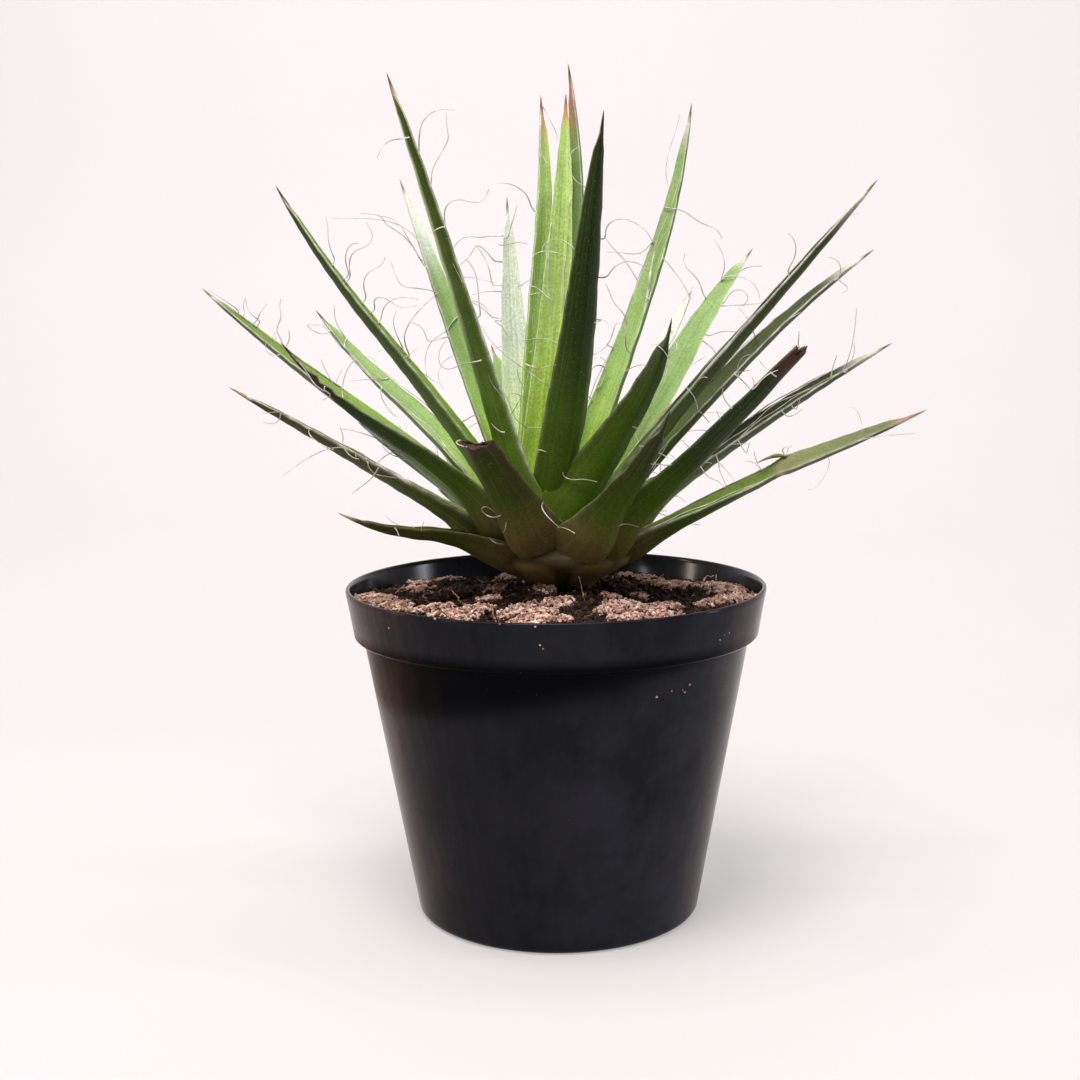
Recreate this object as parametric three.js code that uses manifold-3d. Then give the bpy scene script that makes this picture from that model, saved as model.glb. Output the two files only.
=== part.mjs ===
// Potted thread agave: a rosette of narrow channelled leaves with a spine at each tip and curled white
// threads along the margins, on a short stem, in coarse soil, in a tapered nursery pot with a deep collar.
// Millimetres, +Z up. The origin is the middle of the pot's underside; azimuth 0 is +X and 90 is +Y.
import * as THREE from 'three';
import { mergeVertices } from 'three/addons/utils/BufferGeometryUtils.js';
import Module from 'manifold-3d';

const wasm = await Module();
wasm.setup();

// Left between neighbouring pieces, and between a thread and every other piece.
const CLEARANCE = 0.3;
const SEED = 4127;

const POT = {
  height: 135, rimRadius: 85, lipRound: 1.2,
  collarHeight: 18, collarFootRadius: 82, collarRound: 2, shoulderHeight: 4, neckRadius: 78,
  footRadius: 58, footRound: 3, wall: 1.8, floor: 2.4,
  drainHoles: 5, drainRadius: 4.5, drainCircle: 36, drainSides: 10, drainTurn: 11, sides: 44, turn: 2.3,
};

// The surface dips towards the back (from backStart to backEnd along Y) and is heaped up round the stem. Its
// edge lies where the pot's wall is at edgeZ, the lowest height that the edge reaches.
const SOIL = {
  level: 132.6, backDip: 5.5, backStart: -20, backEnd: 75, heap: 4.5, heapRadius: 30, edgeZ: 125,
  lump: 0.55, lumpLength: 23, rings: 7,
};

// The stem stands upright in the soil, and leans to -X where the young leaves sit on it.
const STEM = {
  footZ: 98, neckZ: 131, underZ: 137, bowlZ: 141.5, bellyZ: 147, bendZ: 153, heartZ: 164, topZ: 177,
  footRadius: 9, neckRadius: 11, underRadius: 15, bowlRadius: 22, bellyRadius: 27, bendRadius: 23,
  heartRadius: 13, topRadius: 4, axisX: 3, topShiftX: -11.5, sides: 16,
};

// What all leaves share. A leaf that leans far is an old one, and grows from lower down and further out.
const LEAF = {
  axisX: 1.5, rootZ: 168, rootZPerDegree: -0.34, rootRadius: 4, rootRadiusPerDegree: 0.06,
  uprightShiftX: -9, shiftEndsAt: 60,
  flareShare: 0.4, flareLength: 10, bowPivot: 0.3, hookStart: 0.6, kinkAt: 0.6,
  twistStart: 0.1, twistEnd: 0.65,
  thickness: 4.2, tipThinning: 0.3, baseSwelling: 5, baseWidening: 0.75, baseLength: 18,
  marginThickness: 1, underFall: 0.9, channel: 0.3, baseChannel: 0.3, spineLength: 8, spineWidth: 1.5,
  fullWidthUntil: 0.3, taperPower: 0.62, youngBelow: 22,
  dryStart: 0.6, dryEnd: 0.9, dryWidth: 0.45, widthInsideKink: 0.82, widthOutsideKink: 1.08,
};

// One row for each leaf. az: azimuth, lean: from upright, bow: bending over the whole length,
// hook: bending of the last part, swing: sideways lean, twist: roll of the outer part and kink: a crease
// across it (all in degrees); len, wide and out, how much further out its root is, in millimetres.
// end is spine unless given: cut is an old cut across the blade, dry is a shrunken tip.
const LEAVES = [
  { az: 152, lean: 57, bow: 5, hook: -6, len: 202, wide: 17 },
  { az: 206, lean: 51, bow: 23, hook: -28, len: 135, wide: 16, end: 'dry' },
  { az: 187, lean: 59, bow: -2, hook: 2, len: 140, wide: 15 },
  { az: 205, lean: 69, bow: 47, hook: -40, swing: 3, len: 91, wide: 14 },
  { az: 176, lean: 36, bow: 10, hook: -14, swing: 1, len: 172, wide: 15 },
  { az: 242, lean: 50, bow: -7, hook: 0, len: 73, wide: 20, end: 'cut', cutShare: 0.6 },
  { az: 195, lean: 17, bow: 0, hook: 1, len: 181, wide: 18 },
  { az: 138, lean: 29, bow: -12, hook: 5, len: 162, wide: 16 },
  { az: 141, lean: 53, bow: 17, hook: -17, swing: -1, len: 164, wide: 17 },
  { az: 114, lean: 20, bow: -38, hook: 9, swing: -1, len: 137, wide: 16 },
  { az: 134, lean: 0, bow: -9, hook: 14, swing: -4, len: 162, wide: 15 },
  { az: 98, lean: 0, bow: 31, hook: 10, swing: -6, len: 170, wide: 14 },
  { az: 40, lean: 9, bow: -19, hook: -7, len: 178, wide: 13 },
  { az: 293, lean: 18, bow: -26, hook: 11, swing: 2, len: 162, wide: 18, out: -1 },
  { az: 301, lean: 24, bow: -9, hook: -37, swing: 24, len: 96, wide: 20, out: 4 },
  { az: 300, lean: 54, bow: -14, hook: -13, len: 96, wide: 20 },
  { az: 35, lean: 25, bow: -9, hook: -11, swing: -1.5, len: 183, wide: 15 },
  { az: 46, lean: 46, bow: -11, hook: 14, swing: 1, len: 177, wide: 20, twist: 12 },
  { az: 60, lean: 50, bow: -2, hook: 0, len: 163, wide: 15 },
  { az: -1, lean: 40, bow: 5, hook: -3, len: 186, wide: 14 },
  { az: 13, lean: 45, bow: 4, hook: 9, len: 175, wide: 16, twist: 10 },
  { az: 324, lean: 54, bow: -17, hook: 5, swing: -5, len: 135, wide: 18, end: 'cut', cutShare: 0.84 },
  { az: 9, lean: 56, bow: 7, hook: 2, swing: 2, len: 158, wide: 17, twist: 8 },
  { az: 347, lean: 63.5, bow: -8, hook: 0, kink: 7, len: 149, wide: 15, twist: 28 },
  { az: 90, lean: 62, bow: 4, hook: 0, len: 150, wide: 17 },
  { az: 84, lean: 40, bow: 6, hook: -4, len: 145, wide: 17 },
  { az: 100, lean: 75, bow: 10, hook: -10, len: 120, wide: 16 },
  { az: 118, lean: 68, bow: 10, hook: -10, len: 124, wide: 16 },
  { az: 132, lean: 68, bow: 14, hook: -10, len: 74, wide: 15 },
  { az: 60, lean: 70, bow: 12, hook: -8, len: 100, wide: 16 },
  { az: 38, lean: 63, bow: 8, hook: -8, len: 66, wide: 15 },
  { az: 69, lean: 60, bow: 8, hook: -6, len: 122, wide: 16 },
  { az: 104, lean: 52, bow: 6, hook: 0, len: 136, wide: 16 },
  { az: 147, lean: 60, bow: 8, hook: -6, len: 108, wide: 14 },
  { az: 24, lean: 57, bow: 6, hook: 0, len: 104, wide: 14 },
];

// A thread leaves the margin sideways, with a random part along the leaf and a random part out of its face,
// and turns by the same angle at each segment, less at every third. testRadius is used to look for hits.
const THREADS = {
  perLeaf: 4, tries: 9, firstShare: 0.16, lastShare: 0.92, ceiling: 336,
  shortest: 18, longest: 46, lengthPower: 1.5, segment: 10,
  turnLeast: 24, turnMost: 70, easeEvery: 3, ease: 0.3,
  alongLeast: -0.2, alongMost: 0.9, faceLeast: -0.3, faceMost: 0.6,
  radius: 0.4, testRadius: 1, rootDepth: 2,
};

// Where a blade has its rings, as shares of its length, and the steps that its middle line is worked out in.
const RINGS = [0, 0.08, 0.2, 0.36, 0.52, 0.68, 0.82, 0.91];
const STEPS = 100;

const deg = THREE.MathUtils.degToRad;

function seededRandom(seed) {
  let state = seed;
  return () => {
    state = (state * 1664525 + 1013904223) % 4294967296;
    return state / 4294967296;
  };
}

function mix(low, high, share) {
  return low + (high - low) * share;
}

// Solids: a closed three.js geometry becomes a manifold, and back.
function toSolid(geometry) {
  const bare = geometry.clone();
  bare.deleteAttribute('normal');
  bare.deleteAttribute('uv');
  const merged = mergeVertices(bare, 1e-4);
  return new wasm.Manifold(new wasm.Mesh({
    numProp: 3,
    vertProperties: new Float32Array(merged.attributes.position.array),
    triVerts: new Uint32Array(merged.index.array),
  }));
}

function toGeometry(solid) {
  const { vertProperties, triVerts } = solid.getMesh();
  const geometry = new THREE.BufferGeometry();
  geometry.setAttribute('position', new THREE.BufferAttribute(new Float32Array(vertProperties), 3));
  geometry.setIndex(new THREE.BufferAttribute(new Uint32Array(triVerts), 1));
  geometry.computeVertexNormals();
  return geometry;
}

function largestBody(solid) {
  const bodies = solid.decompose();
  return bodies.reduce((best, body) => (body.volume() > best.volume() ? body : best));
}

// Rings of equal length, each running counter-clockwise seen from the end of the loft. The first ring is
// closed by a fan from its own first point, and the last ring by a fan to tip, or from its first point.
function loft(rings, tip = null) {
  const count = rings[0].length;
  const points = rings.flat();
  const faces = [];
  for (let i = 0; i < rings.length - 1; i += 1) {
    for (let j = 0; j < count; j += 1) {
      const a = i * count + j;
      const b = i * count + ((j + 1) % count);
      faces.push(a, b, b + count, a, b + count, a + count);
    }
  }
  for (let j = 1; j < count - 1; j += 1) {
    faces.push(0, j + 1, j);
  }
  const last = (rings.length - 1) * count;
  if (tip) {
    points.push(tip);
    for (let j = 0; j < count; j += 1) {
      faces.push(last + j, last + ((j + 1) % count), points.length - 1);
    }
  } else {
    for (let j = 1; j < count - 1; j += 1) {
      faces.push(last, last + j, last + j + 1);
    }
  }
  const geometry = new THREE.BufferGeometry().setFromPoints(points);
  geometry.setIndex(faces);
  return geometry;
}

// Pot: a turned wall with a collar, a rounded lip and foot, and a flat floor with drain holes.
function potInnerRadius(z) {
  const collarFootZ = POT.height - POT.collarHeight;
  if (z >= collarFootZ) {
    const share = (z - collarFootZ) / POT.collarHeight;
    return mix(POT.collarFootRadius, POT.rimRadius, share) - POT.wall;
  }
  const shoulderZ = collarFootZ - POT.shoulderHeight;
  if (z >= shoulderZ) {
    return mix(POT.neckRadius, POT.collarFootRadius, (z - shoulderZ) / POT.shoulderHeight) - POT.wall;
  }
  return mix(POT.footRadius, POT.neckRadius, z / shoulderZ) - POT.wall;
}

function makePot() {
  const collarFootZ = POT.height - POT.collarHeight;
  const shoulderZ = collarFootZ - POT.shoulderHeight;
  const profile = new THREE.Path();
  profile.moveTo(0, 0);
  profile.lineTo(POT.footRadius - POT.footRound, 0);
  profile.quadraticCurveTo(POT.footRadius, 0, POT.footRadius, POT.footRound);
  const undersideZ = collarFootZ - POT.collarRound;
  profile.lineTo(POT.neckRadius, undersideZ);
  profile.lineTo(POT.collarFootRadius - POT.collarRound, undersideZ);
  profile.quadraticCurveTo(POT.collarFootRadius, undersideZ, POT.collarFootRadius, collarFootZ);
  profile.lineTo(POT.rimRadius, POT.height - POT.lipRound);
  profile.lineTo(POT.rimRadius - POT.lipRound / 2, POT.height);
  profile.lineTo(potInnerRadius(POT.height), POT.height);
  profile.lineTo(potInnerRadius(collarFootZ), collarFootZ);
  profile.lineTo(potInnerRadius(shoulderZ), shoulderZ);
  profile.lineTo(potInnerRadius(POT.floor), POT.floor);
  profile.lineTo(0, POT.floor);
  const wall = new THREE.LatheGeometry(profile.getPoints(2), POT.sides, deg(POT.turn)).rotateX(Math.PI / 2);
  let pot = toSolid(wall);
  for (let i = 0; i < POT.drainHoles; i += 1) {
    const angle = deg(POT.drainTurn) + (2 * Math.PI * i) / POT.drainHoles;
    const { drainRadius, drainCircle, drainSides } = POT;
    const hole = new THREE.CylinderGeometry(drainRadius, drainRadius, 4 * POT.floor, drainSides);
    hole.rotateX(Math.PI / 2);
    hole.translate(drainCircle * Math.cos(angle), drainCircle * Math.sin(angle), 0);
    pot = pot.subtract(toSolid(hole));
  }
  return pot;
}

// Soil: fills the pot, lies lower at the back, is heaped up round the stem, and has low lumps all over.
function soilHeight(x, y) {
  const back = SOIL.backDip * THREE.MathUtils.smoothstep(y, SOIL.backStart, SOIL.backEnd);
  const heap = SOIL.heap * Math.exp(-((x - STEM.axisX) ** 2 + y * y) / SOIL.heapRadius ** 2);
  const turn = (2 * Math.PI) / SOIL.lumpLength;
  const waves = [[1, 0.4, 0], [-0.5, 1.3, 1.7], [0.6, -0.6, 0.6]];
  const lumps = waves.reduce((sum, [a, b, phase]) => sum + Math.sin(turn * (a * x + b * y) + phase), 0);
  return SOIL.level - back + heap + SOIL.lump * lumps;
}

function makeSoil(stem) {
  const collarFootZ = POT.height - POT.collarHeight;
  const rings = [];
  const ring = (radius, height) => Array.from({ length: POT.sides }, (_, j) => {
    const angle = deg(POT.turn) + (2 * Math.PI * j) / POT.sides;
    const x = radius * Math.cos(angle);
    const y = radius * Math.sin(angle);
    return new THREE.Vector3(x, y, height === undefined ? soilHeight(x, y) : height);
  });
  const levels = [POT.floor + CLEARANCE, collarFootZ - POT.shoulderHeight, collarFootZ];
  levels.forEach((z) => rings.push(ring(potInnerRadius(z) - CLEARANCE, z)));
  const edge = potInnerRadius(SOIL.edgeZ) - CLEARANCE;
  for (let i = 0; i < SOIL.rings; i += 1) {
    rings.push(ring(edge * (1 - i / SOIL.rings)));
  }
  const middle = new THREE.Vector3(0, 0, soilHeight(0, 0));
  return toSolid(loft(rings, middle)).subtract(stem);
}

// Stem: a turned body, bent over to -X above the bend. grow swells it all over.
function makeStem(grow = 0) {
  const profile = [
    [0, STEM.footZ - grow],
    [STEM.footRadius + grow, STEM.footZ - grow],
    [STEM.neckRadius + grow, STEM.neckZ],
    [STEM.underRadius + grow, STEM.underZ],
    [STEM.bowlRadius + grow, STEM.bowlZ],
    [STEM.bellyRadius + grow, STEM.bellyZ],
    [STEM.bendRadius + grow, STEM.bendZ],
    [STEM.heartRadius + grow, STEM.heartZ],
    [STEM.topRadius + grow, STEM.topZ],
    [0, STEM.topZ + grow],
  ];
  const outline = profile.map(([radius, z]) => new THREE.Vector2(radius, z));
  const geometry = new THREE.LatheGeometry(outline, STEM.sides);
  geometry.rotateX(Math.PI / 2);
  const position = geometry.attributes.position;
  for (let i = 0; i < position.count; i += 1) {
    const above = Math.max(0, position.getZ(i) - STEM.bendZ) / (STEM.topZ - STEM.bendZ);
    position.setX(i, position.getX(i) + STEM.axisX + STEM.topShiftX * above);
  }
  return toSolid(geometry);
}

// The middle line of a leaf, as places with the direction along the leaf, across it and up out of its face.
function traceLeaf(leaf) {
  const azimuth = deg(leaf.az);
  const outward = new THREE.Vector3(Math.cos(azimuth), Math.sin(azimuth), 0);
  const sideways = new THREE.Vector3(-Math.sin(azimuth), Math.cos(azimuth), 0);
  const upward = new THREE.Vector3(0, 0, 1);
  const upright = Math.max(0, 1 - leaf.lean / LEAF.shiftEndsAt);
  const place = new THREE.Vector3(LEAF.axisX + LEAF.uprightShiftX * upright, 0, 0);
  const radius = LEAF.rootRadius + LEAF.rootRadiusPerDegree * leaf.lean + (leaf.out || 0);
  place.addScaledVector(outward, radius);
  place.addScaledVector(upward, LEAF.rootZ + LEAF.rootZPerDegree * leaf.lean);
  const swing = deg(leaf.swing || 0);
  const step = leaf.len / STEPS;
  const trace = [];
  for (let i = 0; i <= STEPS; i += 1) {
    const share = (i + 0.5) / STEPS;
    const flare = LEAF.flareShare * leaf.lean * Math.exp((-share * leaf.len) / LEAF.flareLength);
    const bow = leaf.bow * (share - LEAF.bowPivot);
    const hook = (leaf.hook * Math.max(0, share - LEAF.hookStart)) / (1 - LEAF.hookStart);
    const kink = share > LEAF.kinkAt ? leaf.kink || 0 : 0;
    const tilt = deg(leaf.lean + flare + bow + hook + kink);
    const along = new THREE.Vector3();
    along.addScaledVector(outward, Math.cos(swing) * Math.sin(tilt));
    along.addScaledVector(upward, Math.cos(swing) * Math.cos(tilt));
    along.addScaledVector(sideways, Math.sin(swing));
    const roll = deg(leaf.twist || 0) * THREE.MathUtils.smoothstep(share, LEAF.twistStart, LEAF.twistEnd);
    const across = sideways.clone().addScaledVector(along, -sideways.dot(along)).normalize();
    across.applyAxisAngle(along, roll);
    const face = new THREE.Vector3().crossVectors(along, across);
    trace.push({ place: place.clone(), along, across, face });
    place.addScaledVector(along, step);
  }
  return trace;
}

// Half width, thickness, swelling of the under face and channel depth of a leaf at a share of its length.
function bladeAt(leaf, share) {
  const reach = share * (leaf.end === 'cut' ? leaf.cutShare : 1);
  const nearBase = Math.exp((-share * leaf.len) / LEAF.baseLength);
  let taper = Math.min(1, ((1 - reach) / (1 - LEAF.fullWidthUntil)) ** LEAF.taperPower);
  if (leaf.end === 'dry') {
    taper *= mix(1, LEAF.dryWidth, THREE.MathUtils.smoothstep(share, LEAF.dryStart, LEAF.dryEnd));
  }
  if (leaf.kink) {
    taper *= share < LEAF.kinkAt ? LEAF.widthInsideKink : LEAF.widthOutsideKink;
  }
  const half = (leaf.wide / 2) * taper * (1 + LEAF.baseWidening * nearBase);
  return {
    half,
    thick: LEAF.thickness * mix(LEAF.tipThinning, 1, taper),
    swelling: LEAF.baseSwelling * nearBase,
    sag: half * (LEAF.channel + LEAF.baseChannel * nearBase),
  };
}

// Across the blade as a share of its half width, then -1 for the under face and 1 for the upper one.
const SECTION = [[0.5, -1], [1, -1], [1, 1], [0, 1], [-1, 1], [-1, -1], [-0.5, -1]];

function bladeRing(spot, blade, grow) {
  const middle = (blade.sag - blade.thick) / 2;
  return SECTION.map(([across, side]) => {
    const rise = blade.sag * across * across;
    const full = (blade.thick + blade.swelling) * (1 - LEAF.underFall * across * across);
    const depth = Math.abs(across) === 1 ? LEAF.marginThickness : full;
    const height = side > 0 ? rise + grow : rise - depth - grow;
    return spot.place.clone()
      .addScaledVector(spot.across, across * (blade.half + grow))
      .addScaledVector(spot.face, height - middle);
  });
}

function makeBlade(leaf, trace, grow = 0) {
  const ringAt = (share) => bladeRing(trace[Math.round(share * STEPS)], bladeAt(leaf, share), grow);
  const rings = RINGS.map(ringAt);
  rings[0].forEach((point) => point.addScaledVector(trace[0].along, -grow));
  const end = trace[STEPS];
  if (leaf.end === 'cut') {
    rings.push(ringAt(1).map((point) => point.addScaledVector(end.along, grow)));
    return toSolid(loft(rings));
  }
  const spineShare = 1 - LEAF.spineLength / leaf.len;
  const spineStart = trace[Math.round(spineShare * STEPS)];
  const spine = { half: LEAF.spineWidth / 2, thick: LEAF.spineWidth, swelling: 0, sag: 0 };
  rings.push(bladeRing(spineStart, spine, grow));
  return toSolid(loft(rings, end.place.clone().addScaledVector(end.along, grow)));
}

// Thread: a thin three-sided strand that leaves the margin and curls, with its root sunk in the blade.
function drawThread(leaf, trace, random) {
  const share = mix(THREADS.firstShare, THREADS.lastShare, random());
  const spot = trace[Math.round(share * STEPS)];
  const blade = bladeAt(leaf, share);
  const side = random() < 0.5 ? -1 : 1;
  const outward = spot.across.clone().multiplyScalar(side);
  const margin = spot.place.clone()
    .addScaledVector(outward, blade.half)
    .addScaledVector(spot.face, (blade.sag + blade.thick) / 2 - LEAF.marginThickness / 2);
  const heading = outward.clone()
    .addScaledVector(spot.along, mix(THREADS.alongLeast, THREADS.alongMost, random()))
    .addScaledVector(spot.face, mix(THREADS.faceLeast, THREADS.faceMost, random()))
    .normalize();
  const axis = new THREE.Vector3(random() - 0.5, random() - 0.5, random() - 0.5).normalize();
  const length = mix(THREADS.shortest, THREADS.longest, random() ** THREADS.lengthPower);
  const count = Math.round(length / THREADS.segment);
  const turn = deg(mix(THREADS.turnLeast, THREADS.turnMost, random())) * (random() < 0.5 ? -1 : 1);
  const root = margin.clone()
    .addScaledVector(outward, -THREADS.rootDepth)
    .addScaledVector(spot.face, (-THREADS.rootDepth * blade.sag) / blade.half);
  const points = [root, margin];
  for (let i = 0; i < count; i += 1) {
    points.push(points[points.length - 1].clone().addScaledVector(heading, THREADS.segment));
    heading.applyAxisAngle(axis, turn * ((i + 1) % THREADS.easeEvery ? 1 : THREADS.ease));
  }
  return points;
}

function strand(points, radius) {
  const corner = (angle) => new THREE.Vector2(radius * Math.cos(angle), radius * Math.sin(angle));
  const corners = [90, 210, 330].map((angle) => corner(deg(angle)));
  return toSolid(new THREE.ExtrudeGeometry(new THREE.Shape(corners), {
    steps: points.length - 1, bevelEnabled: false, extrudePath: new THREE.CatmullRomCurve3(points),
  }));
}

function boxesMeet(a, b) {
  return [0, 1, 2].every((k) => a.min[k] <= b.max[k] && b.min[k] <= a.max[k]);
}

function isClear(solid, others) {
  const box = solid.boundingBox();
  const near = others.filter((other) => boxesMeet(box, other.boundingBox()));
  return near.every((other) => solid.intersect(other).isEmpty());
}

// Leaves: the oldest first and whole, each later one cut clear of the stem and of the leaves before it.
function makeLeaves(potted) {
  const swollenStem = makeStem(CLEARANCE);
  const order = LEAVES.map((leaf, index) => ({ leaf, index, trace: traceLeaf(leaf) }))
    .sort((a, b) => b.leaf.lean - a.leaf.lean);
  const swollen = [];
  for (const item of order) {
    const blade = makeBlade(item.leaf, item.trace);
    const cutter = swollen.filter((other) => boxesMeet(blade.boundingBox(), other.boundingBox()))
      .reduce((joined, other) => joined.add(other), swollenStem);
    item.blade = largestBody(blade.subtract(cutter));
    swollen.push(makeBlade(item.leaf, item.trace, CLEARANCE));
  }
  const strands = new Map(order.map((item) => [item, []]));
  for (const item of order) {
    const random = seededRandom(SEED + 31 * item.index);
    for (let i = 0; i < THREADS.perLeaf; i += 1) {
      for (let attempt = 0; attempt < THREADS.tries; attempt += 1) {
        const points = drawThread(item.leaf, item.trace, random);
        if (points.some((point) => point.z > THREADS.ceiling)) {
          continue;
        }
        const others = order.filter((other) => other !== item)
          .flatMap((other) => [other.blade, ...strands.get(other)]);
        const thread = strand(points, THREADS.radius);
        const joined = item.blade.add(thread).decompose().length === 1;
        if (joined && isClear(strand(points, THREADS.testRadius), [...potted, ...others])) {
          strands.get(item).push(thread);
          break;
        }
      }
    }
  }
  return order.sort((a, b) => a.index - b.index)
    .map((item) => strands.get(item).reduce((body, thread) => body.add(thread), item.blade));
}

// Finishes
const FINISH = {
  pot: { color: '#17181e', roughness: 0.35 },
  soil: { color: '#7d5b4e', roughness: 0.95 },
  stem: { color: '#5b5430', roughness: 0.7 },
  youngLeaf: { color: '#93c552', roughness: 0.42 },
  leaf: { color: '#4d6f2c', roughness: 0.42 },
};

function piece(name, solid, finish) {
  const material = new THREE.MeshStandardMaterial({ ...finish, metalness: 0, flatShading: true });
  const mesh = new THREE.Mesh(toGeometry(solid), material);
  mesh.name = name;
  return mesh;
}

const plant = new THREE.Group();
const pot = makePot();
const stem = makeStem();
const soil = makeSoil(makeStem(CLEARANCE));
plant.add(piece('pot', pot, FINISH.pot));
plant.add(piece('soil', soil, FINISH.soil));
plant.add(piece('stem', stem, FINISH.stem));
makeLeaves([pot, soil, stem]).forEach((solid, index) => {
  const finish = LEAVES[index].lean < LEAF.youngBelow ? FINISH.youngLeaf : FINISH.leaf;
  plant.add(piece(`leaf_${String(index + 1).padStart(2, '0')}`, solid, finish));
});

export default plant;
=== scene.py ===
# Potted thread agave: smooth leaves, threads, crumbs and pot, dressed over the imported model.
import math
import random

import bpy
import numpy as np
from mathutils import Matrix, Vector, noise
from mathutils.bvhtree import BVHTree


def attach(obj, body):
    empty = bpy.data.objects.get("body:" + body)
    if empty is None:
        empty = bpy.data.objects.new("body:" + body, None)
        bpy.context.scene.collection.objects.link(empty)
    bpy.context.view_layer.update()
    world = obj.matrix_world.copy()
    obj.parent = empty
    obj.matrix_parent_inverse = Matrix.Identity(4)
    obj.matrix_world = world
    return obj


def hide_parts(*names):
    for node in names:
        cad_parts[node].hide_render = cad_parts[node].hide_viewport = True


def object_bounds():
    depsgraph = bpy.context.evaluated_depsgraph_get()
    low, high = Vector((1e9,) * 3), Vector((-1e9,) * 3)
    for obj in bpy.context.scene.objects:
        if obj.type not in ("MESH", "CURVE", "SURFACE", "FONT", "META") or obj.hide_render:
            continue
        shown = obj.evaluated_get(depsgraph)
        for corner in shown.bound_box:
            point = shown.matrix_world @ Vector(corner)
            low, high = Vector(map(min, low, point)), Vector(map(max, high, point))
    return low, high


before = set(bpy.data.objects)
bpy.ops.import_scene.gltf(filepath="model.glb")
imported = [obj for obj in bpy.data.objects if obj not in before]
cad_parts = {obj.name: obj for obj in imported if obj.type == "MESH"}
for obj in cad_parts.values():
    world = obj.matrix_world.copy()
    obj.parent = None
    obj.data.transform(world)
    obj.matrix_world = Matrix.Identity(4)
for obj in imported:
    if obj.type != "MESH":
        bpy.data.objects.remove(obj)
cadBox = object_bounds()
mm = 0.001

# camera, as the photograph was taken
cameraFit = {"place": (-6.2, -641, 246.7), "down": 8.36, "roll": -0.6, "lens": 53.33, "sensor": 36, "nearest": 0.01}

bpy.ops.object.camera_add(location=[v * mm for v in cameraFit["place"]])
camera = bpy.context.active_object
camera.name = "viewCamera"
turn = Matrix.Rotation(math.radians(90 - cameraFit["down"]), 4, "X")
turn = turn @ Matrix.Rotation(math.radians(cameraFit["roll"]), 4, "Z")
camera.rotation_euler = turn.to_euler()
camera.data.lens = cameraFit["lens"]
camera.data.sensor_width = cameraFit["sensor"]
camera.data.clip_start = cameraFit["nearest"]
bpy.context.scene.camera = camera
print("camera done")


# small helpers
def pick(*pieces):  # only these are selected, and the first is the active one
    bpy.ops.object.select_all(action="DESELECT")
    for piece in reversed(pieces):
        piece.select_set(True)
        bpy.context.view_layer.objects.active = piece


def setMode(mode):
    bpy.ops.object.mode_set(mode=mode)


def closeHoles():  # fills the open borders, turns the faces outwards and leaves edit mode
    bpy.ops.mesh.select_all(action="DESELECT")
    bpy.ops.mesh.select_non_manifold()
    bpy.ops.mesh.edge_face_add()
    bpy.ops.mesh.select_all(action="SELECT")
    bpy.ops.mesh.normals_make_consistent(inside=False)
    setMode("OBJECT")


def named(name):  # the object just added, under its own name
    piece = bpy.context.active_object
    piece.name = piece.data.name = name
    return piece


def tint(hexCode):  # a screen colour as the linear one that shaders take
    channels = np.array([int(hexCode[i:i + 2], 16) / 255 for i in (1, 3, 5)])
    return np.where(channels < 0.04045, channels / 12.92, ((channels + 0.055) / 1.055) ** 2.4)


def smooth(value, low, high):
    share = np.clip((np.asarray(value, float) - low) / (high - low), 0, 1)
    return share * share * (3 - 2 * share)


def onCircle(radius, angle):  # angle in radians
    return radius * math.cos(angle), radius * math.sin(angle)


def paintPoints(piece, name, colours):  # four linear channels for each vertex
    layer = piece.data.attributes.new(name, "FLOAT_COLOR", "POINT")
    layer.data.foreach_set("color", np.array(colours, np.float32).ravel())


def finishPiece(piece, material, slot, *nodes):
    piece.data.materials.clear()
    piece.data.materials.append(material)
    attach(piece, "root")
    if nodes:
        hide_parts(*nodes)


# material helpers
def feed(tree, value, socket):  # a link, or a constant on the socket itself
    if isinstance(value, bpy.types.NodeSocket):
        tree.links.new(value, socket)
    else:
        socket.default_value = value


def put(tree, kind, settings=None, **sockets):
    made = tree.nodes.new("ShaderNode" + kind)
    for key, value in (settings or {}).items():
        setattr(made, key, value)
    for key, value in sockets.items():
        feed(tree, value, made.inputs[key])
    return made


def colourOf(shade):  # a socket stays as it is, a grey or a screen colour becomes four linear channels
    if isinstance(shade, bpy.types.NodeSocket):
        return shade
    return (*tint(shade), 1) if isinstance(shade, str) else (shade, shade, shade, 1)


def ramp(tree, value, *stops):  # stops are (position, grey or colour)
    made = put(tree, "ValToRGB", Fac=value)
    elements = made.color_ramp.elements
    while len(elements) < len(stops):
        elements.new(0.5)
    for element, (position, shade) in zip(elements, stops):
        element.position = position
        element.color = colourOf(shade)
    return made.outputs["Color"]


def blendColours(tree, share, first, second, how="MIX"):
    made = put(tree, "Mix", {"data_type": "RGBA", "blend_type": how})
    for index, value in ((0, share), (6, colourOf(first)), (7, colourOf(second))):
        feed(tree, value, made.inputs[index])
    return made.outputs[2]


def multiply(tree, first, second, share=1.0):
    return blendColours(tree, share, first, second, "MULTIPLY")


def calculate(tree, operation, *values):
    made = put(tree, "Math", {"operation": operation})
    for value, socket in zip(values, made.inputs):
        feed(tree, value, socket)
    return made.outputs[0]


def remap(tree, value, low, high, toLow=0, toHigh=1):
    limits = {"From Min": low, "From Max": high, "To Min": toLow, "To Max": toHigh}
    return put(tree, "MapRange", Value=value, **limits).outputs["Result"]


def speckle(tree, place, scale, detail=4, rough=0.55):
    return put(tree, "TexNoise", Vector=place, Scale=scale, Detail=detail, Roughness=rough).outputs["Fac"]


def stretched(tree, place, *scale):
    return put(tree, "Mapping", Vector=place, Scale=scale).outputs["Vector"]


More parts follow.
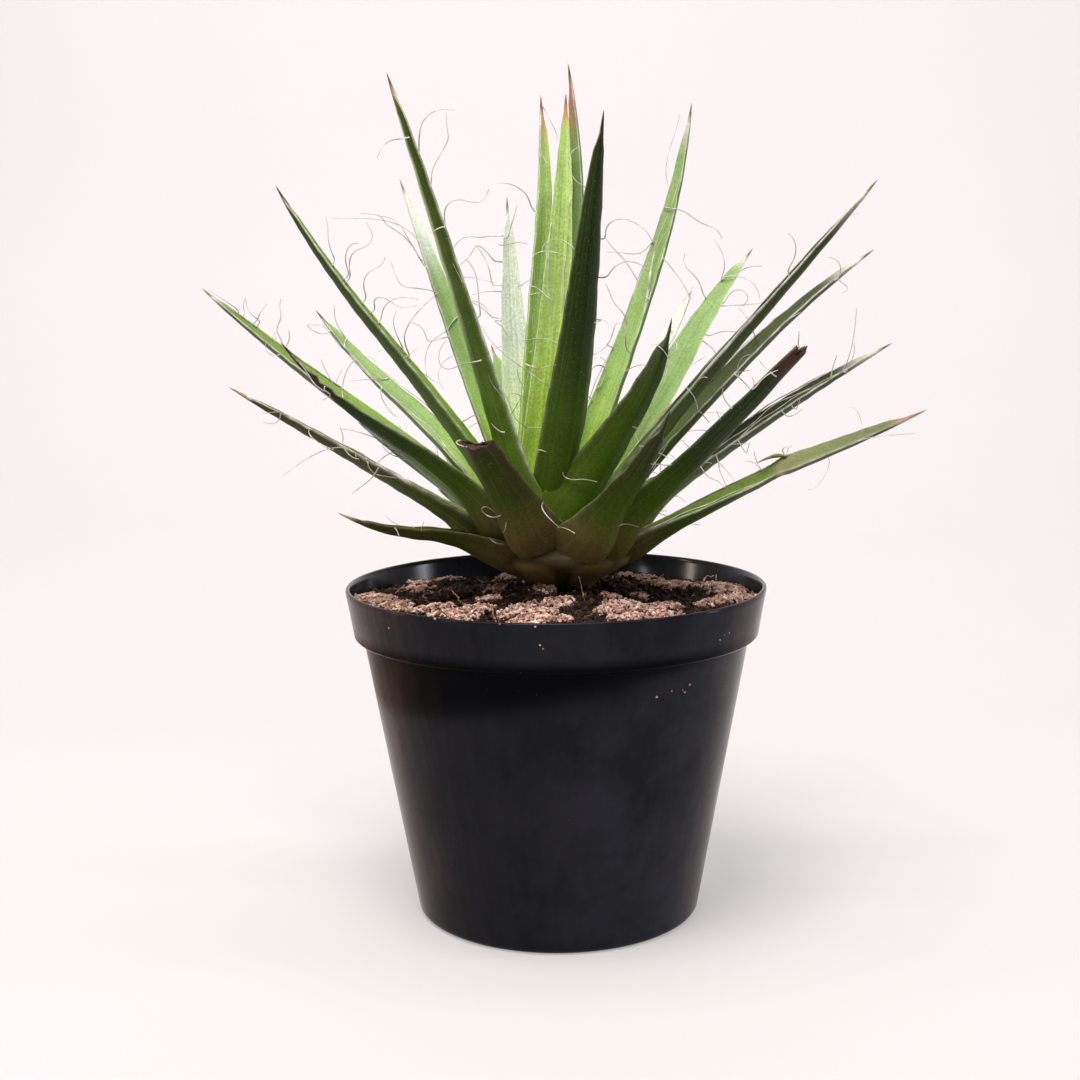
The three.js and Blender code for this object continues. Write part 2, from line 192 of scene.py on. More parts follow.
def newMaterial(name, roughness, **sockets):
    material = bpy.data.materials.new(name)
    material.use_nodes = True
    tree = material.node_tree
    shader = tree.nodes["Principled BSDF"]
    for key, value in {"Roughness": roughness, **sockets}.items():
        shader.inputs[key.replace("_", " ")].default_value = value
    return material, tree, shader, put(tree, "TexCoord").outputs["Object"]


def finishSkin(material, colour, height=None, strength=0, distance=0):
    tree = material.node_tree
    shader = tree.nodes["Principled BSDF"]
    feed(tree, colour, shader.inputs["Base Color"])
    if height is not None:
        bump = put(tree, "Bump", Height=height, Strength=strength, Distance=distance)
        feed(tree, bump.outputs["Normal"], shader.inputs["Normal"])
    return material


# materials
def makeLeafSkin(name, passed, glow):  # colour comes from the leaf's own paint, streaks run along it
    material, tree, shader, spot = newMaterial(name, 0.38, Subsurface_Weight=passed, Subsurface_Scale=0.004,
                                               Subsurface_Radius=(0.7, 1.0, 0.25), Specular_IOR_Level=0.1)
    painted = put(tree, "Attribute", {"attribute_name": "leafPaint"}).outputs
    colour, lined = painted["Color"], painted["Alpha"]
    uv = put(tree, "TexCoord").outputs["UV"]
    lines = speckle(tree, stretched(tree, uv, 150, 2.2, 1), 1, 3)
    broad = stretched(tree, uv, 34, 1.1, 1)
    dots = speckle(tree, spot, 1500, 2)
    for pattern, share, dark, light in ((lines, lined, (0.3, 0.72), (0.7, 1.06)),
                                        (speckle(tree, broad, 1, 2), lined, (0.3, 0.74), (0.65, 1.06)),
                                        (speckle(tree, spot, 70, 4), 0.35, (0.35, 0.6), (0.65, 1.0)),
                                        (speckle(tree, spot, 950, 2), 0.7, (0.35, 0.72), (0.62, 1.1))):
        colour = multiply(tree, colour, ramp(tree, pattern, dark, light), share)
    bloom = multiply(tree, ramp(tree, speckle(tree, broad, 1.7, 3), (0.5, 0.0), (0.8, 0.22)), lined)
    colour = blendColours(tree, bloom, colour, "#dfeacb")
    colour = blendColours(tree, ramp(tree, dots, (0.66, 0.0), (0.72, 0.1)), colour, "#f2f4e4")  # pores
    if glow:  # painted glow: emission stands in for the light that thin young blades pass
        feed(tree, colour, shader.inputs["Emission Color"])
        feed(tree, glow, shader.inputs["Emission Strength"])
    evenLines = blendColours(tree, lined, 0.5, lines)
    feed(tree, ramp(tree, evenLines, (0.3, 0.32), (0.7, 0.46)), shader.inputs["Roughness"])
    return finishSkin(material, colour, blendColours(tree, 0.25, evenLines, dots), 0.3, 0.0004)


def makeThreadHorn():
    material, tree, _, spot = newMaterial("threadHorn", 0.5)
    return finishSkin(material, ramp(tree, speckle(tree, spot, 180, 3), (0.3, "#958b85"), (0.5, "#c4bcb5"),
                                     (0.7, "#f2efea")))


def makeCrownSkin():
    material, tree, _, spot = newMaterial("crownSkin", 0.55, Specular_IOR_Level=0.2)
    patches = speckle(tree, spot, 60, 5)
    # the low part is painted lighter than the high part: partly its own brown, partly painted light that makes up for
    # the shade it lies in
    low, high, young = [ramp(tree, patches, (0.3, dark), (0.7, light)) for dark, light in
                        (("#6a5834", "#8e7846"), ("#5a5030", "#6f6538"), ("#7f9c3c", "#a4bc58"))]
    height = put(tree, "SeparateXYZ", Vector=spot).outputs["Z"]
    colour = blendColours(tree, remap(tree, height, 0.136, 0.156), low, high)
    creaseShade = put(tree, "Attribute", {"attribute_name": "crownShade"}).outputs["Fac"]
    # painted shade in the creases between the sheaths and on the ledge under the leaves
    colour = blendColours(tree, ramp(tree, creaseShade, (0.55, 0.8), (0.8, 0.0)), colour, "#2a2010")
    heart = ramp(tree, height, (0.158, 0.0), (0.166, 1.0))  # the heart of the rosette is green
    return finishSkin(material, blendColours(tree, heart, colour, young), speckle(tree, spot, 400, 4), 0.3, 0.0005)


def makePotPlastic(name, gloss, reflectionShare):
    material, tree, shader, spot = newMaterial(name, 0.2, IOR=gloss)
    streaks = speckle(tree, stretched(tree, spot, 150, 150, 5), 1.5, 4, 0.65)
    cloud = speckle(tree, spot, 26, 5, 0.65)
    x, y, z = put(tree, "SeparateXYZ", Vector=spot).outputs
    body = ramp(tree, streaks, (0.3, "#14141a"), (0.7, "#1c1c23"))
    # lighter and bluer in clouds from the middle rightwards, while the left half stays blacker
    lighterRight = multiply(tree, remap(tree, x, -0.045, 0.02), ramp(tree, cloud, (0.38, 0.1), (0.62, 1.0)))
    body = blendColours(tree, lighterRight, body, "#2a2a33")
    # painted shadow of the collar: the wall is painted black, and reflects less, in a band under the collar that
    # slants downwards to the left
    collarShadow = multiply(tree, ramp(tree, calculate(tree, "MULTIPLY_ADD", x, -0.2, z), (0.1, 0.0), (0.107, 0.9)),
                     ramp(tree, z, (0.1178, 1.0), (0.1195, 0.0)))
    body = blendColours(tree, collarShadow, body, "#08080a")
    feed(tree, ramp(tree, collarShadow, (0.0, 0.5), (0.9, 0.1)), shader.inputs["Specular IOR Level"])
    # painted reflection: brown streaks on both sides of the front half stand in for the surroundings reflected there
    across = remap(tree, calculate(tree, "DIVIDE", x, remap(tree, z, 0, 0.12, 0.06, 0.083)), -1, 1)
    paintedReflection = ramp(tree, across, (0.0, 0.65), (0.05, 0.6), (0.1, 0.3), (0.17, 0.08), (0.24, 0.0), (0.86, 0.0),
                (0.94, 0.4), (0.98, 0.5))
    for limit in (ramp(tree, y, (0.0, 1.0), (0.025, 0.15)), ramp(tree, cloud, (0.4, 0.5), (0.58, 1.0)), reflectionShare):
        paintedReflection = multiply(tree, paintedReflection, limit)
    brown = ramp(tree, streaks, (0.36, "#452f26"), (0.52, "#583c2f"), (0.66, "#684a3a"))
    body = blendColours(tree, paintedReflection, body, brown)
    dust = multiply(tree, ramp(tree, speckle(tree, spot, 900, 3, 0.7), (0.735, 0.0), (0.76, 0.75)),
                    ramp(tree, speckle(tree, spot, 16, 3), (0.5, 0.0), (0.62, 1.0)))
    rough = blendColours(tree, dust, ramp(tree, cloud, (0.35, 0.12), (0.7, 0.26)), 0.9)
    feed(tree, rough, shader.inputs["Roughness"])
    waviness = speckle(tree, spot, 60, 2)  # moulded plastic is never quite even
    return finishSkin(material, blendColours(tree, dust, body, "#9a8a7c"), waviness, 0.12, 0.0006)


def makeSoilSkin():  # dark humus, with the pale mix painted where the mounds are
    material, tree, _, spot = newMaterial("soilSkin", 0.95, Specular_IOR_Level=0.2)
    mounds = put(tree, "Attribute", {"attribute_name": "soilPaint"}).outputs["Fac"]
    clump, grain = speckle(tree, spot, 420, 5), speckle(tree, spot, 1100, 3)
    humus = ramp(tree, clump, (0.35, "#110a07"), (0.52, "#261811"), (0.68, "#4c362b"))
    mix = ramp(tree, grain, (0.38, "#1d120e"), (0.52, "#4a3229"), (0.68, "#a88070"))
    colour = blendColours(tree, ramp(tree, mounds, (0.2, 0.0), (0.5, 1.0)), humus, mix)
    return finishSkin(material, colour, blendColours(tree, 0.5, clump, grain), 0.9, 0.0015)


def makeCrumbSkin(name, *shades):  # a dark, a middle and a light one
    material, tree, _, spot = newMaterial(name, 0.9, Specular_IOR_Level=0.25)
    fleck = speckle(tree, spot, 2200, 3)
    colour = ramp(tree, speckle(tree, spot, 330, 2), *zip((0.34, 0.5, 0.66), shades))
    colour = multiply(tree, colour, ramp(tree, fleck, (0.35, 0.45), (0.65, 1.0)), 0.5)
    return finishSkin(material, colour, fleck, 0.6, 0.0004)


leafSkin = makeLeafSkin("leafSkin", 0.04, 0)
youngSkin = makeLeafSkin("youngLeafSkin", 0.25, 0.16)
threadHorn = makeThreadHorn()
crownSkin = makeCrownSkin()
potPlastic = makePotPlastic("potPlastic", 1.15, 0.85)
potInner = makePotPlastic("potInner", 1.4, 0.2)
soilSkin = makeSoilSkin()
paleCrumbSkin = makeCrumbSkin("paleCrumbSkin", "#8c6657", "#d2a999", "#fbe7dd")
darkCrumbSkin = makeCrumbSkin("darkCrumbSkin", "#17100c", "#2e1f17", "#5c4337")
rootSkin = makeCrumbSkin("rootSkin", "#6d4c40", "#a98573", "#d9bba8")
print("materials done")


# pot: one ring pulled up and scaled from the middle of the floor, out round the wall and back inside
pot = {"height": 135, "rim": 84.92, "lip": 1.2, "collar": 18, "collarFoot": 82, "collarRound": 2, "shoulder": 4,
       "neck": 78, "foot": 58, "footRound": 3, "wall": 1.8, "floor": 2.4,
       "drains": 5, "drainRadius": 4.5, "drainCircle": 36, "drillDepth": 12, "sides": 160}
collarFootZ = pot["height"] - pot["collar"]
shoulderZ = collarFootZ - pot["shoulder"]


def potInside(z):  # inner radius of the wall at a height, in millimetres
    return np.interp(z, [0, shoulderZ, collarFootZ, pot["height"]],
                     [pot["foot"], pot["neck"], pot["collarFoot"], pot["rim"]]) - pot["wall"]


def pullRings(name, sides, rings):  # rings are (radius, height); each is extruded from the one before, ends closed
    radius, height = rings[0]
    pick()
    bpy.ops.mesh.primitive_circle_add(vertices=sides, radius=radius * mm, fill_type="NOTHING",
                                      location=(0, 0, height * mm))
    piece = named(name)
    bpy.ops.object.transform_apply(location=True, rotation=False, scale=False)
    setMode("EDIT")
    bpy.ops.mesh.select_all(action="SELECT")
    for nextRadius, nextHeight in rings[1:]:
        bpy.ops.mesh.extrude_region_move(TRANSFORM_OT_translate={"value": (0, 0, (nextHeight - height) * mm)})
        share = nextRadius / radius
        bpy.ops.transform.resize(value=(share, share, 1), center_override=(0, 0, nextHeight * mm))
        radius, height = nextRadius, nextHeight
    closeHoles()
    return piece


def potRings():
    top, rim, foot, bend, neck = pot["height"], pot["rim"], pot["foot"], pot["footRound"], pot["neck"]
    collarFoot, underZ, floor = pot["collarFoot"], collarFootZ - pot["collarRound"], pot["floor"]
    rings = [(2, 0), (foot * 0.5, 0), (foot - bend, 0)]
    for turned in np.radians((20, 45, 70, 90)):
        rings.append((foot - bend + bend * math.sin(turned), bend * (1 - math.cos(turned))))
    rings += [(foot + (neck - foot) * k / 6, bend + (underZ - 1 - bend) * k / 6) for k in range(1, 6)]
    rings += [(neck, underZ - 1), (neck + 0.2, underZ - 0.3), (neck + 1, underZ), (collarFoot - 2, underZ),
              (collarFoot - 0.9, underZ + 0.3), (collarFoot - 0.2, underZ + 1), (collarFoot, collarFootZ),
              (83.5, 126), (rim - 0.2, top - pot["lip"] - 1.4), (rim, top - pot["lip"])]
    rings += [(rim - inwards, top - down) for inwards, down in
              ((0.15, 0.45), (0.5, 0.1), (0.9, 0), (1.4, 0.15), (1.75, 0.6))]
    rings += [(potInside(z), z) for z in (top - 2, collarFootZ, shoulderZ, 60, floor + 2)]
    return rings + [(potInside(floor) - 2, floor), (foot * 0.5, floor), (2, floor)]


def makePot():
    shell = pullRings("potShell", pot["sides"], potRings())
    for k in range(pot["drains"]):
        spot = onCircle(pot["drainCircle"] * mm, 2 * math.pi * k / pot["drains"])
        bpy.ops.mesh.primitive_cylinder_add(vertices=32, radius=pot["drainRadius"] * mm,
                                            depth=pot["drillDepth"] * mm, location=(*spot, 0))
        drill = named("drainDrill")
        pick(shell)
        cut = shell.modifiers.new("drain", "BOOLEAN")
        cut.object = drill
        cut.operation = "DIFFERENCE"
        cut.solver = "EXACT"
        bpy.ops.object.modifier_apply(modifier="drain")
        bpy.data.objects.remove(drill)
    bpy.ops.object.shade_smooth_by_angle(angle=math.radians(32))
    finishPiece(shell, potPlastic, "pot", "pot")
    shell.data.materials.append(potInner)
    for face in shell.data.polygons:
        x, y, z = face.center
        if face.normal.x * x + face.normal.y * y < 0 and z > 0.02 and math.hypot(x, y) > 0.05:
            face.material_index = 1


# crumbs that stuck to the wall: (angle, height, size)
stuckCrumbs = [(238.4, 134.7, 0.5), (255.8, 134.6, 0.4), (264.4, 133.8, 0.45), (265.5, 127, 0.4), (266.2, 125.6, 0.3),
               (309.6, 106.2, 0.45), (307.2, 104.6, 0.3), (303.2, 105, 0.35), (308.1, 103.6, 0.45),
               (298.2, 103.6, 0.4), (221.5, 128.1, 0.35), (316.8, 122.5, 0.3), (320.6, 124.3, 0.3),
               (318.5, 124, 0.25), (120, 122, 0.4), (75, 96, 0.4), (40, 110, 0.35), (162, 90, 0.4)]


def makeStuckCrumbs():
    made = []
    for angle, height, size in stuckCrumbs:
        spot = onCircle((potInside(height) + pot["wall"]) * mm, math.radians(angle))
        bpy.ops.mesh.primitive_ico_sphere_add(subdivisions=2, radius=size * mm, location=(*spot, height * mm))
        made.append(named("stuckCrumb"))
    pick(*made)
    bpy.ops.object.join()
    piece = named("stuckCrumbs")
    bpy.ops.object.transform_apply(location=True, rotation=True, scale=True)
    for vertex in piece.data.vertices:
        place = vertex.co * 900
        vertex.co += Vector((noise.noise(place), noise.noise(place + Vector((9, 0, 0))), 0)) * 0.0002
    finishPiece(piece, paleCrumbSkin, "soil")


makePot()
makeStuckCrumbs()
print("pot done")


# soil: a lumpy top with its rim turned down inside the wall
soil = {"level": 132.6, "backDip": 5.5, "backStart": -20, "backEnd": 75, "heap": 4.5, "heapRadius": 30, "sunk": 2.4,
        "stemX": 3, "edgeRadius": 81.0, "cells": 150, "depth": 8, "rimStart": 74, "rimEnd": 81, "highest": 133.6,
        "lump": (1.6, 11), "grain": (1.1, 3.5), "tuckIn": 0.965, "wallSteps": ((0.1125, 0.968), (0.0028, 0.738)),
        "mounds": [(-78, -6, 8, 2.4), (-72, -13, 9, 2.4), (-67, -25, 8, 2.2), (-58, 16, 9, 2.2), (-60, -32, 7, 2.2),
                   (-54, -43, 5.5, 2.0), (-45, -38, 6, 2.2), (-43, -50, 6, 2.2), (-36, -46, 8, 2.4),
                   (-30, -40, 7, 2.2), (-38, -61, 7, 2.2), (-27, -24, 6, 2.4), (-25, -5, 5, 2.2),
                   (-17, -52, 6, 2.2), (-12, -38, 7, 2.4), (-7, -50, 9, 2.4), (-10, -64, 9, 2.4), (0, -36, 6, 2.4),
                   (1, -64, 7, 2.2), (-9, -3, 5, 2.2), (-5, -19, 6, 2.4), (19, -46, 7, 2.2), (26, -38, 9, 2.4),
                   (33, -46, 9, 2.4), (26, -60, 8, 2.2), (38, -56, 8, 2.2), (42, -36, 7, 2.2), (22, -27, 5, 2.2),
                   (42, 22, 8, 2.6), (49, 17, 9, 2.8), (57, 14, 10, 3.0), (65, 13, 11, 3.0), (71, 1, 9, 2.8),
                   (58, -33, 7, 2.4), (65, -26, 9, 2.6), (75, -15, 7, 2.2), (34, -20, 5, 2.0), (-58, 39, 6, 1.8),
                   (-50, 60, 12, 1.8), (10, 72, 14, 1.8), (36, 64, 12, 1.8), (-16, 66, 12, 1.8)]}


def unevenness(x, y, length, layer):
    return noise.noise(Vector((x / length, y / length, layer)))


def soilHeight(x, y):
    back = soil["backDip"] * smooth(y, soil["backStart"], soil["backEnd"])
    near = math.exp(-((x - soil["stemX"]) ** 2 + y * y) / soil["heapRadius"] ** 2)
    return soil["level"] - back + soil["heap"] * near - soil["sunk"] * (1 - near ** 2)


def moundAt(x, y):  # 0 to 1: how much pale loose mix lies here
    best = 0
    warpX = x + 4 * unevenness(x, y, 9, 3.1) + 2 * unevenness(x, y, 3, 1.3)
    warpY = y + 4 * unevenness(x, y, 9, 8.7) + 2 * unevenness(x, y, 3, 6.1)
    for moundX, moundY, radius, rise in soil["mounds"]:
        away = math.hypot(warpX - moundX, warpY - moundY) / radius
        best = max(best, (1 - away ** 3) * rise / 2.4) if away < 1 else best
    return min(1, best)


def surfaceAt(x, y):
    (lump, lumpLength), (grain, grainLength) = soil["lump"], soil["grain"]
    rough = lump * unevenness(x, y, lumpLength, 0.4) + grain * unevenness(x, y, grainLength, 5.2)
    edge = smooth(math.hypot(x, y), soil["rimStart"], soil["rimEnd"])
    height = soilHeight(x, y) + rough * (1 - edge) + 3 * math.sqrt(moundAt(x, y)) * (1 - 0.4 * edge) - 0.5
    return min(height, soil["highest"] + 4 * math.exp(-(x * x + y * y) / 900))


def makeSoil():
    pick()
    bpy.ops.mesh.primitive_grid_add(x_subdivisions=soil["cells"], y_subdivisions=soil["cells"], size=2)
    bed = named("soilBed")
    shares = []
    for vertex in bed.data.vertices:  # the square becomes a disc, then takes the soil's height
        x, y, _ = vertex.co
        spotX = x * math.sqrt(max(0, 1 - y * y / 2)) * soil["edgeRadius"]
        spotY = y * math.sqrt(max(0, 1 - x * x / 2)) * soil["edgeRadius"]
        vertex.co = (spotX * mm, spotY * mm, surfaceAt(spotX, spotY) * mm)
        shares.append(moundAt(spotX, spotY))
    paintPoints(bed, "soilPaint", [(share, share, share, 1) for share in shares])
    setMode("EDIT")
    bpy.ops.mesh.select_all(action="DESELECT")
    bpy.ops.mesh.select_non_manifold()
    bpy.ops.mesh.extrude_region_move(TRANSFORM_OT_translate={"value": (0, 0, -soil["depth"] * mm)})
    bpy.ops.transform.resize(value=(soil["tuckIn"], soil["tuckIn"], 1), center_override=(0, 0, 0))
    for height, share in soil["wallSteps"]:  # down the wall and in to the floor
        bpy.ops.mesh.extrude_region_move()
        bpy.ops.transform.resize(value=(share, share, 0), center_override=(0, 0, height))
    closeHoles()
    bpy.ops.object.shade_smooth_by_angle(angle=math.radians(50))
    finishPiece(bed, soilSkin, "soil", "soil")


makeSoil()


# loose crumbs: one pebble, copied and squashed by a seeded draw, and laid on the bed
crumbs = {"pale": {"tries": 34000, "small": 0.36, "large": 0.72, "seed": 21},
          "dark": {"tries": 12000, "small": 0.3, "large": 1.3, "seed": 22}, "reach": 81.2, "stemClear": 10}


def scatterCrumbs(name, plan, wanted, material):
    draw = np.random.default_rng(plan["seed"])
    pick()
    bpy.ops.mesh.primitive_ico_sphere_add(subdivisions=1, radius=1)
    pebble = named("pebble")
    points = np.array([v.co for v in pebble.data.vertices])
    faces = np.array([list(p.vertices) for p in pebble.data.polygons])
    bpy.data.objects.remove(pebble)
    found = []
    for _ in range(plan["tries"]):
        radius = crumbs["reach"] * math.sqrt(draw.random())
        x, y = onCircle(radius, 2 * math.pi * draw.random())
        chance, size = draw.random(), plan["small"] + (plan["large"] - plan["small"]) * draw.random() ** 2.2
        stretch, rough, spin = draw.uniform(0.65, 1.35, 3), draw.uniform(0.78, 1.22, (12, 1)), draw.random(3) * 6.28
        lift = draw.uniform(-0.1, 0.7)
        if radius + size > potInside(130) - 0.3 or math.hypot(x - soil["stemX"], y) < crumbs["stemClear"]:
            continue
        if chance > wanted(x, y):
            continue
        about = [Matrix.Rotation(angle, 3, axis) for angle, axis in zip(spin, "XYZ")]
        turned = about[0] @ about[1] @ about[2]
        shaped = (points * rough * stretch) @ np.array(turned) * size
        found.append((shaped + np.array([x, y, surfaceAt(x, y) + lift * size])) * mm)
    mesh = bpy.data.meshes.new(name)
    mesh.from_pydata(np.vstack(found).tolist(), [],
                     np.vstack([faces + len(points) * k for k in range(len(found))]).tolist())
    mesh.update()
    piece = bpy.data.objects.new(name, mesh)
    bpy.context.collection.objects.link(piece)
    finishPiece(piece, material, "soil")
    print(name, len(found))


scatterCrumbs("paleCrumbs", crumbs["pale"], lambda x, y: 0.015 + 3 * (moundAt(x, y) - 0.2), paleCrumbSkin)
scatterCrumbs("darkCrumbs", crumbs["dark"], lambda x, y: 0.9 - 1.7 * moundAt(x, y), darkCrumbSkin)
print("soil done")


# thin round things: many paths as one curve, then a mesh
def strandPiece(name, paths, material, slot, sides=0):
    curve = bpy.data.curves.new(name, "CURVE")
    curve.dimensions = "3D"
    curve.bevel_depth = 1
    curve.bevel_resolution = sides
    curve.use_fill_caps = True
    curve.resolution_u = 1
    for points, radii in paths:  # in millimetres
        spline = curve.splines.new("POLY")
        spline.points.add(len(points) - 1)
        spline.points.foreach_set("co", np.c_[np.array(points) * mm, np.ones(len(points))].ravel())
        spline.points.foreach_set("radius", radii * mm)
    piece = bpy.data.objects.new(name, curve)
    bpy.context.collection.objects.link(piece)
    pick(piece)
    bpy.ops.object.convert(target="MESH")
    bpy.ops.object.shade_smooth()
    piece = bpy.context.active_object
    finishPiece(piece, material, slot)
    return piece


# sticks and root fibres on the soil: listed ones first, then a seeded litter of thin ones
litter = {"sticks": [[(-52, 18, 0), (-51, 19, 2), (-52, 18, 5)], [(-48, 9, 0), (-48, 9, 2), (-47, 8, 3.4)],
                     [(-37, -24, 0), (-38, -24, 2.5), (-39, -23, 5), (-41, -22, 7)],
                     [(-50, -21, 0), (-53, -14, 3), (-49, -8, 3), (-52, -4, 3.6)],
                     [(11, -26, 0), (10, -26, 4), (9, -26, 9)], [(-23, -59, 1), (-24, -50, 2.5), (-26, -40, 2)],
                     [(28, 41, 0), (30, 40, 2.5), (33, 38, 0.5)], [(67, 16, 1), (67, 17, 4)],
                     [(73, -12, 1), (74, -8, 3.4), (71, -6, 3.6), (70, -11, 1)],
                     [(-22, 40, 0), (-24, 30, 1.5), (-14, 24, 2)], [(-8, -8, 1), (-9, -4, 3), (-11, 2, 3)],
                     [(61, 12, 1), (63, 15, 4), (66, 14, 3.4)], [(-66, 4, 1), (-62, 8, 3)],
                     [(40, 50, 0), (48, 54, 3)], [(-30, 52, 0), (-22, 58, 3)]],
          "stickRadius": 0.45, "fibres": 110, "fibreRadius": 0.16, "spread": 76, "edge": 78, "stemClear": 11,
          "step": 1.3, "seed": 31}


def makeLitter():
    draw = random.Random(litter["seed"])
    paths = []
    for stick in litter["sticks"]:
        knots = np.array([(x, y, surfaceAt(x, y) + lift) for x, y, lift in stick])
        at = np.linspace(0, len(knots) - 1, 4 * len(knots))
        points = np.stack([np.interp(at, range(len(knots)), knots[:, k]) for k in range(3)], axis=-1)
        points += np.array([[draw.uniform(-0.35, 0.35) for _ in range(3)] for _ in points])
        paths.append((points, np.linspace(1, 0.45, len(points)) * litter["stickRadius"]))
    for _ in range(litter["fibres"]):
        radius = litter["spread"] * math.sqrt(draw.random())
        x, y = onCircle(radius, draw.uniform(0, 6.28))
        heading, bend, points = draw.uniform(0, 6.28), draw.uniform(-0.4, 0.4), []
        for step in range(draw.randint(4, 11)):
            if math.hypot(x, y) < litter["edge"] and math.hypot(x - soil["stemX"], y) > litter["stemClear"]:
                points.append((x, y, surfaceAt(x, y) + 0.5 + 0.5 * math.sin(step * 1.3)))
            ahead, aside = onCircle(litter["step"], heading)
            x, y, heading = x + ahead, y + aside, heading + bend
        if len(points) > 3:
            paths.append((points, np.linspace(1, 0.5, len(points)) * litter["fibreRadius"]))
    strandPiece("rootLitter", paths, rootSkin, "soil")


makeLitter()


# stem and crown: one ring pulled up like the pot's, bent over to the left above the bend
crown = {"rings": [(9, 118), (9.5, 124), (11, 131), (12.5, 134.5), (15, 137), (18.6, 139), (22, 141.5),
                   (25.2, 144.2), (26.6, 146.6), (25, 149.6), (20.5, 152.6), (17, 158), (13, 164), (8.5, 171),
                   (4, 177), (0.5, 178.3)],
         "axisX": 3, "bendZ": 153, "topZ": 177, "topShiftX": -11.5, "sides": 96, "bellyZ": 146,
         "sheaths": [200, 240, 298, 338, 15, 60, 100, 145]}


def makeCrown():
    body = pullRings("crown", crown["sides"], crown["rings"])
    shades = []
    for vertex in body.data.vertices:
        x, y, z = vertex.co / mm
        away = math.atan2(y, x)
        swell = 0
        for azimuth in crown["sheaths"]:  # low leaves clasp the crown and show as broad ridges
            apart = (away - math.radians(azimuth) + math.pi) % (2 * math.pi) - math.pi
            swell = max(swell, 1 - (apart / 0.6) ** 2)
        ridge = 1 + 0.02 * math.sin(5 * away + z / 6) + 0.03 * noise.noise(Vector((x / 8, y / 8, z / 8)))
        ridge += 0.13 * (swell - 0.35) * math.exp(-((z - crown["bellyZ"]) / 7) ** 2)
        shown = swell * (1 - 0.75 * smooth(z, 145, 148.5))  # painted shade: low between the sheaths and on the ledge where the leaves leave the crown, which the skin darkens
        shades.append((shown, shown, shown, 1))
        above = max(0, z - crown["bendZ"]) / (crown["topZ"] - crown["bendZ"])
        vertex.co.x = (x * ridge + crown["axisX"] + crown["topShiftX"] * above) * mm
        vertex.co.y = y * ridge * mm
    paintPoints(body, "crownShade", shades)
    bpy.ops.object.shade_smooth()
    finishPiece(body, crownSkin, "stem", "stem")


makeCrown()
print("crown done")

# leaves: the same table and middle lines as the solids
leafShape = {"rootZ": 168, "rootZPerDegree": -0.34, "rootRadius": 4, "rootRadiusPerDegree": 0.06, "axisX": 1.5,
             "uprightShiftX": -9, "shiftEndsAt": 60, "flareShare": 0.4, "flareLength": 10, "bowPivot": 0.3,
             "hookStart": 0.6, "kinkAt": 0.6, "twistStart": 0.1, "twistEnd": 0.65, "thickness": 4.2,
             "tipThinning": 0.3, "baseSwelling": 5, "baseWidening": 0.8, "baseLength": 18, "margin": 0.55,
             "channel": 0.3, "spineLength": 9, "spineRadius": 0.85, "fullUntil": 0.3, "taperPower": 0.62,
             "footSwelling": 6, "rows": 60, "steps": 100, "youngLean": 22}


leafNames = ("az", "lean", "bow", "hook", "length", "wide", "skin", "tip", "tipLength")
leafUsual = {"swing": 0, "twist": 0, "kink": 0, "out": 0, "flare": leafShape["baseWidening"], "cut": 0, "dry": False,
             "rim": 0.85, "strips": 0, "edge": None, "stripe": None, "spine": "#3a241c"}


def leafRow(*row, **more):  # angles and sizes as in the solids, a skin of leafColours and a tip of tipColours
    return {**leafUsual, **dict(zip(leafNames, row)), **more}


